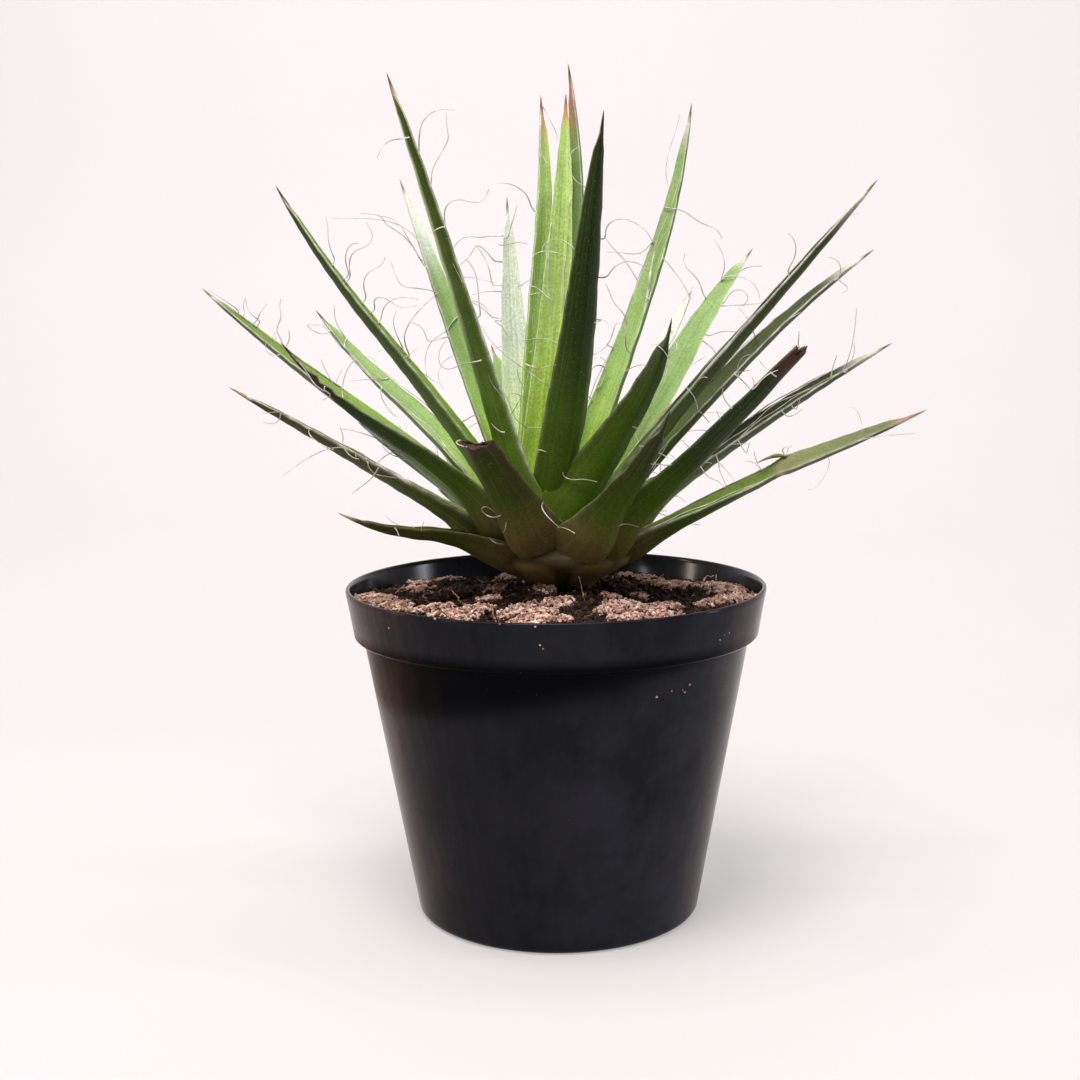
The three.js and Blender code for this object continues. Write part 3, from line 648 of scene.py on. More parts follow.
leaves = [
    leafRow(152, 57, 5, -6, 202, 17, "mid", "pale", 12, strips=1),
    leafRow(206, 51, 23, -28, 135, 16, "dark", "purple", 28, dry=True),
    leafRow(187, 59, -2, 2, 140, 15, "olive", "pink", 8, strips=3, spine="#9c7466"),
    leafRow(205, 69, 47, -40, 91, 14, "bark", "pink", 7, swing=3, rim=0.3, edge="#463a1e", spine="#c29a8c"),
    leafRow(176, 36, 10, -14, 172, 15, "mid", "brown", 12, swing=1),
    leafRow(242, 50, -7, 0, 73, 20, "bark", "purple", 2, cut=0.6, rim=0.2, edge="#46381f"),
    leafRow(195, 17, 0, 1, 181, 18, "mid", "pink", 12, stripe="#c3d69a"),
    leafRow(138, 29, -12, 5, 162, 16, "fresh", "frost", 42),
    leafRow(141, 53, 17, -17, 164, 17, "fresh", "red", 9, swing=-1, strips=3),
    leafRow(114, 20, -38, 9, 137, 16, "mint", "frost", 70, swing=-1),
    leafRow(134, 0, -9, 14, 162, 15, "lime", "pink", 18, swing=-4, strips=3),
    leafRow(98, 0, 31, 10, 170, 14, "lime", "red", 16, swing=-6, strips=3),
    leafRow(40, 9, -19, -7, 178, 13, "fresh", "pink", 26),
    leafRow(293, 18, -26, 11, 162, 18, "dark", "brown", 10, swing=2, out=-1, flare=-0.1, rim=0.5),
    leafRow(301, 24, -9, -37, 96, 20, "dark", "brown", 5, swing=24, out=4, flare=0.35, rim=0.5, edge="#3a3a1c"),
    leafRow(300, 54, -14, -13, 96, 20, "dark", "brown", 6, rim=0.3, edge="#40351c"),
    leafRow(35, 25, -9, -11, 183, 15, "fresh", "pale", 18, swing=-1.5, strips=4),
    leafRow(46, 46, -11, 14, 177, 20, "fresh", "pale", 14, swing=1, twist=12),
    leafRow(60, 50, -2, 0, 163, 15, "mint", "pale", 30, strips=3),
    leafRow(-1, 40, 5, -3, 186, 14, "shade", "pale", 24, rim=1, strips=4),
    leafRow(13, 45, 4, 9, 175, 16, "shade", "pale", 22, twist=10, rim=1, strips=5),
    leafRow(324, 54, -17, 5, 135, 18, "dark", "purple", 15, swing=-5, cut=0.84, rim=0.3),
    leafRow(9, 56, 7, 2, 158, 17, "shade", "pale", 22, swing=2, twist=8, rim=1, strips=5),
    leafRow(347, 63.5, -8, 0, 149, 15, "fern", "pink", 13, twist=28, kink=7, rim=1, strips=2, spine="#a8806e"),
    leafRow(90, 62, 4, 0, 150, 17, "mid", "brown", 10),
    leafRow(84, 40, 6, -4, 145, 17, "fresh", "pink", 10),
    leafRow(100, 75, 10, -10, 120, 16, "olive", "brown", 12),
    leafRow(118, 68, 10, -10, 124, 16, "mid", "pale", 14),
    leafRow(132, 68, 14, -10, 74, 15, "dark", "pink", 7),
    leafRow(60, 70, 12, -8, 100, 16, "mid", "brown", 8),
    leafRow(38, 63, 8, -8, 66, 15, "dark", "brown", 6),
    leafRow(69, 60, 8, -6, 122, 16, "mid", "pale", 12),
    leafRow(104, 52, 6, 0, 136, 16, "fresh", "pink", 9),
    leafRow(147, 60, 8, -6, 108, 14, "mid", "pale", 10),
    leafRow(24, 57, 6, 0, 104, 14, "mid", "brown", 8),
]

# outer faces are darker than inner ones, partly by their own colour and partly by painted shade
leafColours = {  # face inside the rosette and its foot, face outside it and its foot, margin, lined share
    "lime": ("#cdf086", "#d4f25a", "#a4cc52", "#b8dc3c", "#f2f6dc", 0.9),
    "mint": ("#eef8e8", "#d2ea8a", "#8ab26c", "#9cc84e", "#f6f8ee", 0.8),
    "fresh": ("#a1c57a", "#b8dc58", "#58802a", "#7aac28", "#f1f3e2", 0.55),
    "mid": ("#7c9c44", "#9cc43c", "#445a18", "#628420", "#e2e6d2", 0.35),
    "shade": ("#46522a", "#64802c", "#3c481c", "#5a741c", "#f0f1e6", 0.45),
    "fern": ("#848c5c", "#5c7a2a", "#34440f", "#4a6818", "#e6e8d8", 0.4),
    "dark": ("#4c6820", "#7aa62c", "#2b3d0e", "#547216", "#a9b08a", 0.2),
    "bark": ("#4c5824", "#55661f", "#3a4214", "#4c5c1a", "#a39480", 0.2),
    "olive": ("#78864c", "#8fa440", "#4a5420", "#566820", "#e4dccc", 0.7),
}
tipColours = {"pale": "#e9e2d8", "frost": "#f6fdf4", "pink": "#d08e7c", "red": "#bd5a44", "brown": "#4a2f24",
              "purple": "#4a3029"}
markColours = {"root": "#74683a", "belowFold": "#5d7a2c", "fold": "#c79a88"}

# across the blade from the left margin over the inner face, round the right margin and back under
acrossInside = [-1, -0.96, -0.88, -0.7, -0.45, -0.15, 0.15, 0.45, 0.7, 0.88, 0.96, 1]
acrossLoop = np.array(acrossInside + [1.03] + acrossInside[::-1] + [-1.03])
sideLoop = np.array([1] * 12 + [0] + [-1] * 12 + [0])


def traceLeaf(leaf):  # place, forward, across and face all along the middle line
    shape, lean, length, steps = leafShape, leaf["lean"], leaf["length"], leafShape["steps"]
    azimuth, swing = math.radians(leaf["az"]), math.radians(leaf["swing"])
    outward, upward = np.array([*onCircle(1, azimuth), 0]), np.array([0, 0, 1])
    sideways = np.array([-math.sin(azimuth), math.cos(azimuth), 0])
    shiftX = shape["uprightShiftX"] * max(0, 1 - lean / shape["shiftEndsAt"])
    start = np.array([shape["axisX"] + shiftX, 0, shape["rootZ"] + shape["rootZPerDegree"] * lean])
    start = start + outward * (shape["rootRadius"] + shape["rootRadiusPerDegree"] * lean + leaf["out"])
    share = (np.arange(steps + 1) + 0.5) / steps
    tilt = lean + shape["flareShare"] * lean * np.exp(-share * length / shape["flareLength"])
    tilt = tilt + leaf["bow"] * (share - shape["bowPivot"])
    tilt = tilt + leaf["hook"] * np.maximum(0, share - shape["hookStart"]) / (1 - shape["hookStart"])
    tilt = np.radians(tilt + leaf["kink"] * (share > shape["kinkAt"]))[:, None]
    forward = math.cos(swing) * (np.sin(tilt) * outward + np.cos(tilt) * upward) + math.sin(swing) * sideways
    travelled = np.vstack([np.zeros(3), np.cumsum(forward, axis=0)[:-1]]) * length / steps
    across = sideways - (forward @ sideways)[:, None] * forward
    across /= np.linalg.norm(across, axis=1)[:, None]
    roll = math.radians(leaf["twist"]) * smooth(share, shape["twistStart"], shape["twistEnd"])[:, None]
    across = across * np.cos(roll) + np.cross(forward, across) * np.sin(roll)
    return start + travelled, forward, across, np.cross(forward, across)


def along(leaf, share):  # the four of them at any share of the length
    at, grid = np.asarray(share, float) * leafShape["steps"], np.arange(leafShape["steps"] + 1)
    return [np.stack([np.interp(at, grid, part[:, k]) for k in range(3)], axis=-1) for part in leaf["trace"]]


def bladeAt(leaf, share):  # half width, thickness, swelling and sag of the channel
    shape, length, cut = leafShape, leaf["length"], leaf["cut"]
    nearBase = np.exp(-share * length / shape["baseLength"])
    left = np.maximum(0, 1 - share * (cut or 1) - (0 if cut else 4 / length))
    taper = np.minimum(1, (left / (1 - shape["fullUntil"])) ** shape["taperPower"])
    if leaf["dry"]:
        taper = taper * (1 - 0.55 * smooth(share, 0.6, 0.9))
    if leaf["kink"]:
        taper = taper * (0.82 + 0.26 * smooth(share, 0.585, 0.615))
    half = leaf["wide"] / 2 * taper * (1 + leaf["flare"] * nearBase)
    thick = shape["thickness"] * (shape["tipThinning"] + (1 - shape["tipThinning"]) * taper)
    return half, thick, shape["baseSwelling"] * nearBase, half * shape["channel"] * (1 + nearBase)


def rowShares(leaf):
    rows = leafShape["rows"]
    if leaf["cut"]:
        return np.concatenate([np.linspace(0, 1, rows - 2), [1, 1, 1]])
    spineStart = 1 - leafShape["spineLength"] / leaf["length"]
    return np.concatenate([np.linspace(0, spineStart, rows - 7), np.linspace(spineStart, 1, 9)[1:]])


def footDepth(leaf, distance):  # how much deeper the outer face is where a low leaf clasps the crown
    low = smooth(leaf["lean"], 42, 52) * (1 - 0.6 * smooth(leaf["lean"], 57, 66))
    return leafShape["footSwelling"] * low * np.exp(-((distance - 20) / 15) ** 2)


def shapeLeaf(leaf, shares, seed):  # points of the blade as rows by loop, in millimetres
    draw = random.Random(seed)
    centre, forward, sideways, face = [part[:, None, :] for part in along(leaf, shares)]
    shares = shares[:, None]
    half, thick, swelling, sag = bladeAt(leaf, shares)
    distance, toTip = shares * leaf["length"], (1 - shares) * leaf["length"]
    waves = [(draw.uniform(0.05, 0.16), draw.uniform(0.03, 0.12), draw.uniform(0, 6.3)) for _ in range(6)]
    right, left, lift = [sum(size * np.sin(2 * math.pi * rate * distance + phase) for size, rate, phase in pair)
                         for pair in (waves[:2], waves[2:4], waves[4:])]
    a, side, narrow = acrossLoop, sideLoop, np.minimum(1, half / 4)  # a narrow blade wavers less
    spread = (half + np.where(a > 0, right, left) * narrow) * a
    margin = np.minimum(leafShape["margin"], thick)
    depth = margin + ((thick + swelling) * 0.94 - margin) * np.clip(1 - np.abs(a) ** 2.1, 0, 1)
    depth = depth + footDepth(leaf, distance) * np.clip(1 - np.abs(a) ** 2.5, 0, 1)
    height = sag * a ** 2 - np.where(side > 0, 0, np.where(side < 0, depth, margin / 2))
    height = height - (sag - thick) / 2 + 0.6 * lift * narrow
    if leaf["dry"]:
        crumple = smooth(shares, 0.72, 0.9) * np.minimum(1, half / 2)
        height = height + crumple * (np.sin(distance * 0.9 + a * 3) * 0.9 + np.sin(distance * 1.7 - a * 2) * 0.5)
        spread = spread + crumple * 0.5 * np.sin(distance * 1.3 + 1)
    if leaf["cut"]:
        shrink = np.ones_like(shares)
        shrink[-3:, 0] = (0.8, 0.4, 0.0)
        middle = height.mean(axis=1, keepdims=True)
        spread, height = spread * shrink, middle + (height - middle) * shrink
        ragged = 1.3 * np.sin(7 * a + seed) + 0.9 * np.sin(17 * a + 2 * seed)
        push = ragged * smooth(shares, 0.93, 1) * shrink - 1.2 * (1 - shrink)
    else:
        angle = np.arctan2(0.6 * side, a)
        radius = leafShape["spineRadius"] * np.minimum(1, toTip / leafShape["spineLength"]) ** 0.75
        isSpine = smooth(toTip, 15, 8)
        spread = spread + isSpine * (radius * np.cos(angle) - spread)
        height = height + isSpine * (radius * np.sin(angle) - height)
        push = 0 * height
    return centre + sideways * spread[..., None] + face * height[..., None] + forward * push[..., None]


def cover(paint, colour, share):  # lays a colour over the paint
    return paint + ((tint(colour) if isinstance(colour, str) else colour) - paint) * share


def paintLeaf(leaf, shares, seed):  # colour of every point of the blade and how lined it is, rows by loop
    draw = random.Random(seed + 500)
    inner, innerFoot, outer, outerFoot, rim = [tint(code) for code in leafColours[leaf["skin"]][:5]]
    innerLines = leafColours[leaf["skin"]][5]
    shares, across, isInner = shares[:, None, None], acrossLoop[None, :, None], (sideLoop > 0)[None, :, None]
    distance, toTip, tipLength = shares * leaf["length"], (1 - shares) * leaf["length"], leaf["tipLength"]
    fade = 0.8 + 0.3 * smooth(shares, 0.9, 0.2)
    paint = np.where(isInner, inner, outer) * (1 + 0.1 * draw.uniform(-1, 1)) * fade
    paint = paint * (1 - 0.22 * np.clip(1 - np.abs(across) * 1.6, 0, 1))  # deeper colour along the middle
    paint = cover(paint, np.where(isInner, innerFoot, outerFoot), (1 - smooth(distance, 22, 90)) * 0.8)
    nearRoot = (1 - smooth(distance, 22, 46)) * np.where(isInner, 0.1, 0.9)
    paint = cover(paint, markColours["root"], nearRoot * (0.15 + 0.85 * smooth(leaf["lean"], 35, 50)))
    if leaf["edge"]:  # a tinge that runs in from the margins of the outer face
        tinge = smooth(np.abs(across), 0.45, 0.95) * np.where(isInner, 0.25, 0.75)
        paint = cover(paint, leaf["edge"], tinge * smooth(distance, 20, 70))
    if leaf["stripe"]:  # light falls through one half of the outer face towards the tip
        stripe = smooth(across, 0.5, 0.2) * np.where(isInner, 0, 1)
        paint = cover(paint, leaf["stripe"], stripe * smooth(shares, 0.25, 0.6))
    nearTip = smooth(toTip, tipLength * 1.3, tipLength * 0.4)
    if leaf["tip"] == "pale":  # a bleached tip is palest inside
        nearTip = nearTip * np.where(isInner, 1, 0.55)
    paint = cover(paint, tipColours[leaf["tip"]], nearTip * 0.92)
    if leaf["kink"]:  # green below the fold, worn pale on it
        paint = cover(paint, markColours["belowFold"], (1 - smooth(shares, 0.57, 0.6)) * np.where(isInner, 0.8, 0))
        crease = np.exp(-((shares - leafShape["kinkAt"]) * leaf["length"] / 1.5) ** 2)
        paint = cover(paint, markColours["fold"], crease * np.where(isInner, 0.25, 0.8))
    atRim = smooth(np.abs(across), 0.945, 1) * leaf["rim"]
    atRim = atRim * np.array([draw.uniform(0.35, 1) for _ in shares])[:, None, None]  # worn off in places
    paint = cover(paint, rim, atRim * smooth(distance, 8, 30))
    if not leaf["cut"]:
        paint = cover(paint, leaf["spine"], smooth(toTip, 9, 4) * 0.75)
    lined = np.where(isInner, innerLines, 0.5 * innerLines + 0.1) * np.ones_like(shares)
    return np.concatenate([paint, lined], axis=2)


def leafSlot(leaf):
    return "young_leaf" if leaf["lean"] < leafShape["youngLean"] else "leaf"


def makeLeaves():
    loop, rows, made = len(acrossLoop), leafShape["rows"], []
    for index, leaf in enumerate(leaves):
        leaf["trace"] = traceLeaf(leaf)
        shares = rowShares(leaf)
        pick()
        bpy.ops.mesh.primitive_grid_add(x_subdivisions=loop, y_subdivisions=rows, size=2)
        blade = named(f"leafBlade{index + 1:02d}")
        grid = np.array([v.co for v in blade.data.vertices])
        row = np.rint((grid[:, 1] + 1) / 2 * rows).astype(int)
        column = np.rint((grid[:, 0] + 1) / 2 * loop).astype(int) % loop
        blade.data.vertices.foreach_set("co", (shapeLeaf(leaf, shares, index)[row, column] * mm).ravel())
        paintPoints(blade, "leafPaint", paintLeaf(leaf, shares, index)[row, column])
        made.append(blade)
    pick(*made)
    setMode("EDIT")
    bpy.ops.mesh.select_all(action="SELECT")
    bpy.ops.mesh.remove_doubles(threshold=0.00001)
    closeHoles()
    bpy.ops.object.shade_smooth()
    for index, (blade, leaf) in enumerate(zip(made, leaves)):
        skin = youngSkin if leaf["skin"] in ("lime", "mint") else leafSkin
        finishPiece(blade, skin, leafSlot(leaf), f"leaf_{index + 1:02d}")
    return made


blades = makeLeaves()
print("leaves done")

# threads: some follow the photograph, the rest are seeded; all start on a margin and keep clear of the blades
threads = {"perLeaf": 3, "hiddenMore": 8, "inView": 24, "tries": 10, "step": 1.5, "shortest": 12, "longest": 42,
           "radius": 0.22, "traced": 0.29, "seed": 77, "top": 340, "low": 152, "coreRadius": 58, "coreTop": 206,
           "float": 0.9, "focal": 1600, "frame": 540, "grows": (0.22, 0.86), "wisps": 0.3, "wisp": (4, 11),
           "curl": (2, 9), "growth": (-16, 16)}

# each is a path over the photograph, from the margin outwards: its first pixel, then the steps from there
tracedThreads = [
    [551, 222, -2, 18, -0.5, 20, -0.5, 20, 1, 20, 1, 20],
    [693, 289, -5, 14, -5, 15, -7, 15, -8, 14, -8, 14, -10, 14, -10, 15, -8, 15], [660, 347, 6, 5, 2, 6],
    [672, 330, 2, 10, -6, 15], [320, 322, 11, 12, 9, 12, 12, 12, 11, 12, 11, 10, 9, 11],
    [300, 362, 8, 12, 6, 10, 6, 5, 7, 3], [238, 391, 12, 6, 12, 7, 12, 6, 6, 2], [283, 413, 9, 5, 9, 5, 6, 6],
    [540, 505, 5, 9, 7, 7, 6, 5.5], [504, 410, 3, 12, 6, 12, 6, 13, 6, 13, 6, 14],
    [402, 139, -7, 0, -7, 2, -7, 7, -4, 10], [419, 152, 0, -17, 3, -13, 8, -9, 10, -4, 15, 1],
    [431, 186, 1, -16, 5, -10, 6, -10, 6, -11, -2, -11, -1, -16],
    [445, 225, -1, -13, 3, -8, 6, -4, 7, -1, 10, 3, 8, 1, 6, -3, 5, -11], [445, 225, -8, 4, -7, 4],
    [421, 262, -6, -13, -9, -11, -10, -8, -11, -6, -3, -8, -10, -2, -12, -1],
    [425, 268, -8, -15, -8, -13, -7, -13, -9, -8, -11, -3],
    [351, 278, -2, -11, 1, -10, 5, -7, 8, -2, 7, -4, 3, -7, -2, -8, -5, -7],
    [350, 276, -4, -11, -1, -9, 2, -7, 5, -6, 6, 0], [336, 261, -5, -10, -3, -11, 0, -12, -2, -12],
    [367, 299, -4, -14, 2, -9, 6, -6, 8, -3, 5, -4, 1, -6],
    [441, 294, -11, -4, -15, -2, -11, -1, -5, -4, -3, -7, -5, -14],
    [376, 310, -3, -9, 3, -4, 7, 0, 7, 4, 8, 6, 9, 1, 12, -3], [381, 322, 1, -11, 4, -7, 7, -5, 9, -2, 10, 1, 7, 2],
    [410, 356, -5, -11, -1, -10, 4, -10, 7, -10, 9, -10, 12, -10], [404, 350, -6, -12, -4, -10, -1, -10, 4, -8],
    [458, 316, -7, 7, -4, 8, -9, 5, -8, 7, -4, 9, -1, 10, 2, 16], [427, 342, -2, -10, -5, -7, -8, -2],
    [483, 360, -8, 2, -10, 1, -9, 4, -8, 3, -7, -3, -3, -8, 2, -10, 6, -9], [492, 320, 8, 4, 5, 7, 6, 10],
    [534, 212, -4, -8, -2, -8, -6, -6, -8, -5, -8, -2, -7, 0], [508, 240, 2, -11, 4, -12, 3, -12],
    [496, 244, 6, 2, 6, -2, 9, -2, 11, 2], [495, 236, -8, 0, -7, 2, -8, -2, -8, 1, -7, 5, -4, 7],
    [494, 262, -5, -8, -7, -7, -6, -3, -3, 7, -6, 8, -7, 6], [481, 318, -2, -15, -1, -15, -2, -14, -6, -11, -4, -4],
    [492, 286, -2, -14, -4, -12, -6, -10, -5, -5], [492, 291, -10, 1, -10, 3], [491, 318, -4, -7, -8, -5, -9, -5],
    [494, 236, 7, 0, 7, 1], [531, 258, 4, -4, 6, -3, 7, 0, 9, 2, 6, 1], [536, 286, 5, 5, 6, 6, 5, 3],
    [528, 295, 7, -1, 6, -2], [522, 341, 8, -1, 8, -2, 7, 1, 8, 1, 5, 3], [530, 354, 6, -6, 7, -5, 8, -2],
    [527, 364, 6, 4, 7, 1, 8, -3, 8, -1], [542, 105, 4, 7, 5, 10, 5, 9, 2, 10], [537, 148, 4, 5, 4, 7, 2, 3],
    [534, 452, 3, -3, 4, 0, 5, 3], [606, 240, -1, -9, 3, -7, 6, -4, 7, -2, 9, 2, 9, 5, 8, 6, 5, 10],
    [651, 242, -5, 8, -7, 4, -9, 0, -12, -2, -11, 0],
    [646, 300, -5, -13, -6, -11, -6, -10, -8, -10, -9, -9, -6, -8],
    [607, 278, 5, -9, 6, -5, 8, -3, 9, 1, 7, 3, 5, 4],
    [627, 352, -2, -12, 2, -11, -1, -12, -6, -8, -7, -7, -3, -9, -4, -9],
    [669, 208, 7, 1, 9, 2, 7, 6, 9, 6, 8, 3, 8, 3, 5, 9], [661, 257, 4, 3, 6, 7, 7, 9, 7, 11, 6, 12],
    [704, 298, -2, -9, -3, -8, -6, -7, -7, -6, -3, -7, 2, -8], [720, 280, 4, -8, 1, -9, -2, -9, -4, -8, -5, -7],
    [722, 279, 6, -3, 6, -1, 6, 2, 8, 2, 7, 6, 4, 7, 1, 8], [722, 306, 10, -1, 12, 0, 12, -1, 8, -2],
    [724, 305, 3, -8, 5, -6, 6, -2, 6, 1, 5, 6, -2, 7, -6, 3], [754, 334, -4, -11, -5, -9, -7, -7],
    [708, 337, 7, -4, 10, -2, 13, 1], [705, 343, 6, 3, 5, 7, 2, 7], [738, 272, 7, -4, 9, -2, 8, 0],
    [687, 390, 4, 2, 4, 5, 2, 9, 2, 7], [740, 379, -3, -8, 1, -8, 4, -6, 5, -3, 5, 1], [739, 377, 5, 5, 6, 7],
    [724, 400, -2, -6, 1, -6], [701, 412, 4, 6, 4, 4], [594, 403, -2, -4, -3, -3, -5, -2, -4, 1, -3, 4],
    [578, 434, -3, -7, -5, -6, -6, -4, -3, -7], [601, 364, -6, 1, -4, 4, -1, 5, -3, 6, -2, 6],
    [604, 320, -5, 1, -5, 2], [601, 388, 3, -10, 4, -10, -2, -8, -6, -3],
    [605, 345, 5, -3, 3, -9, 2, -10, 5, -1, 6, 3], [692, 291, 2, -8, -3, 7, -5, 7, -4, 6, 3, 7],
    [246, 314, -3, -6, 0, -6, 3, -4], [262, 322, -9, -6, -6, -7, -1, -9], [258, 320, 2, -8, 4, -5, 3, -3],
    [280, 337, -4, -6, 1, -5, 4, -6, 0, -8, -2, -6, 2, -7], [290, 341, -1, -5, 0, -6],
    [240, 311, -10, -7, -11, -7, -10, -7], [322, 391, 6, 1, 5, 3, -5, 3, -6, 2],
    [327, 334, -8, 0, -7, -4, -7, -6, 8, 1, 8, 0], [346, 338, -6, -8, -4, -7, -2, -9, 1, -9],
    [388, 380, -9, -2, -9, 1, -10, 1, -10, 1], [345, 339, -2, 6, 3, 5, 6, 4],
    [383, 384, -3, 7, 1, 7, 5, 7, 4, 7, 7, 5], [281, 416, -1, 5, -6, 3, -6, 0, -5, -2],
    [307, 432, 6, 7, 9, 6, 12, 5], [343, 450, 4, 2, 3, 4, 4, 3, 5, 0], [368, 457, -1, 6, 3, 7, 6, 5, 8, 1, 12, 2],
    [343, 443, 1, -5, -2, -6, -2, -5], [373, 477, -7, 6, -7, 5, -7, 6],
    [498, 517, -5, 1, -6, -2, -5, -4, -2, -4, 4, -2, 5, 1, 5, 5], [505, 523, 2, 4, -1, 3, -3, 3],
    [489, 540, 6, 3, 5, 2, 4, -1], [573, 532, -5, -3, -6, -2, -5, 0], [615, 528, 5, -3, 6, -2, 6, 2, 7, 2],
    [568, 459, -4, -4, -5, -3, -6, -1, -5, 1], [545, 470, 6, 3, 5, 5, 2, 7, -2, 6, -6, 7, -5, 4, -6, 3],
    [543, 482, 5, 1, 4, 4], [561, 472, 2, 4, 4, 3, 7, 1, 8, -1, 8, 1, 7, 2], [503, 434, -4, -3, -4, -3, -4, -5],
    [530, 428, -7, -3, -7, -5, -4, -9, -3, -9, -4, -8, -6, -6], [508, 419, 5, -7, 4, -8, 4, -6],
    [548, 427, -8, 1, -10, 0, -9, 0], [454, 441, 3, 4, 4, 1, 6, 1], [475, 447, 5, 0, 4, -4, 4, 3],
    [630, 426, 8, 2, 7, 1, 6, -2], [661, 453, 4, 2, 4, 4], [671, 466, -7, -1, -7, -1, -6, 0],
    [658, 464, -4, 4, -4, 6, -3, 7], [787, 271, 5, -8, 4, -9, 0, -9, -3, -8, -5, -4],
    [837, 281, 4, -8, 0, -8, -4, -6, -8, -2], [844, 285, 4, 0, 1, 5, -3, 3, -5, 0], [797, 347, 2, -7, 0, -9],
    [845, 375, 4, -9, 4, -8, 2, -7, -1, -8], [830, 380, 2, -9, 2, -8, 3, -8], [773, 375, -5, -5, -5, -5, -4, -5],
    [777, 333, 4, -8, 6, -5, 7, -4, 7, -4], [754, 390, 6, -9, 8, -7, 10, -4], [796, 412, 2, -6, 2, -7],
    [788, 418, 8, -4, 7, -5], [747, 455, 1, -7, 2, -6], [757, 464, -5, -3, -6, 0], [757, 463, -2, -6, -1, -6],
    [785, 453, 4, -3, -2, -4, 5, -1], [719, 462, 0, 8, 4, 8, 3, 8], [708, 478, 6, 1, 6, 3, 5, 6],
    [467, 420, 5, -5, 7, 0, 6, 4],
]


def bladesAsTree():
    points, faces = [], []
    for blade in blades:
        faces += [[len(points) + i for i in p.vertices] for p in blade.data.polygons]
        points += [v.co.copy() for v in blade.data.vertices]
    return BVHTree.FromPolygons(points, faces)


def marginAt(leaf, share, side):  # a point of the margin and the blade's directions there
    half, thick, _, sag = bladeAt(leaf, share)
    place, forward, across, face = along(leaf, share)
    across = across * side
    return place + across * half + face * ((sag + thick) / 2 - 0.45), forward, across, face


def growThread(leaf, draw):
    margin, forward, across, face = marginAt(leaf, draw.uniform(*threads["grows"]), draw.choice((-1, 1)))
    heading = Vector(across + forward * draw.uniform(-0.3, 1.6) + face * draw.uniform(-0.6, 0.9)).normalized()
    axis = Vector([draw.gauss(0, 1) for _ in range(3)]).cross(heading).normalized()
    length = threads["shortest"] + (threads["longest"] - threads["shortest"]) * draw.random() ** 1.8
    if draw.random() < threads["wisps"]:  # a short wisp that has barely left the margin
        length = draw.uniform(*threads["wisp"])
    curl, growth = draw.choice((-1, 1)) * draw.uniform(*threads["curl"]), draw.uniform(*threads["growth"])
    points = [Vector(margin) - Vector(across) * 0.9, Vector(margin)]
    steps = int(length / threads["step"])
    for step in range(steps):
        points.append(points[-1] + heading * threads["step"])
        heading = Matrix.Rotation(math.radians(curl + growth * step / steps), 3, axis) @ heading
        axis = (axis + 0.09 * Vector([draw.gauss(0, 1) for _ in range(3)])).normalized()
    return points


def growStrip(leaf, draw):  # a long fibre that has half come off the margin and lies along it
    side, first = draw.choice((-1, 1)), draw.uniform(0.15, 0.6)
    last = min(0.96, first + draw.uniform(0.2, 0.45))
    lift, inward, rate = draw.uniform(0.3, 1.8), draw.uniform(-0.8, 3), draw.uniform(2, 5)
    points = []
    for share in np.linspace(first, last, 28):
        margin, _, across, face = marginAt(leaf, share, side)
        loose = math.sin(math.pi * (share - first) / (last - first)) * (1 + 0.3 * math.sin(rate * 9 * share))
        points.append(Vector(margin - across * (0.2 + inward * loose) + face * (0.2 + lift * loose)))
    return points


def threadIsFree(points):
    for p in points:
        inCore = p.y < 15 and math.hypot(p.x, p.y) < threads["coreRadius"] and p.z < threads["coreTop"]
        if inCore or not threads["low"] <= p.z <= threads["top"]:
            return False
    for first, second in zip(points[2:], points[3:]):
        reach = (second - first) * mm
        if bladeTree.ray_cast(first * mm, reach.normalized(), reach.length)[0]:
            return False
    return True


def marginsInView():  # every margin as pixels of the photograph, with its leaf and its distance from the camera
    found = []
    for index, leaf in enumerate(leaves[:threads["inView"]]):
        for share in np.linspace(0.08, 0.99, 92):
            for side in (-1, 1):
                away = Vector(marginAt(leaf, share, side)[0]) - eye
                x, y, z = facing.transposed() @ away
                across, down = -threads["focal"] * x / z, threads["focal"] * y / z
                found.append((threads["frame"] + across, threads["frame"] + down, index, away.length))
    return np.array(found)


def traceThread(path):  # lays a path of pixels over the blades, at its own margin's depth
    knots = np.cumsum(np.array(path, float).reshape(-1, 2), axis=0)
    near = np.hypot(*(margins[:, :2] - knots[0]).T) + 0.02 * margins[:, 3]
    rootX, rootY, index, rootDepth = margins[near.argmin()]
    knots = np.vstack([(rootX, rootY), knots])  # starts on the margin itself
    travelled = np.concatenate([[0], np.cumsum(np.hypot(*np.diff(knots, axis=0).T))])
    at = np.linspace(0, travelled[-1], max(4, int(travelled[-1] / 3)))
    pixels = np.stack([np.interp(at, travelled, knots[:, k]) for k in (0, 1)], axis=-1)
    for _ in range(2):  # rounds the corners of the drawn path
        pixels[1:-1] = (pixels[:-2] + 2 * pixels[1:-1] + pixels[2:]) / 4
    rays = [(facing @ Vector((x - threads["frame"], threads["frame"] - y, -threads["focal"]))).normalized()
            for x, y in pixels]
    depths = []
    for k, ray in enumerate(rays):
        hit = bladeTree.ray_cast(eye * mm, ray)[3]
        over = hit / mm - threads["float"] if hit else 1e6
        wanted = rootDepth - 4 * math.sin(math.pi * min(1, k / 12) / 2)
        depths.append(min(over, wanted) if over > rootDepth - 30 else wanted)
    depths = np.array(depths)
    for _ in range(6):  # no sudden steps towards the blades or away from them
        depths[1:-1] = np.minimum(depths[1:-1], (depths[:-2] + depths[2:]) / 2 + 0.4)
    return int(index), [eye + ray * float(depth) for ray, depth in zip(rays, depths)]


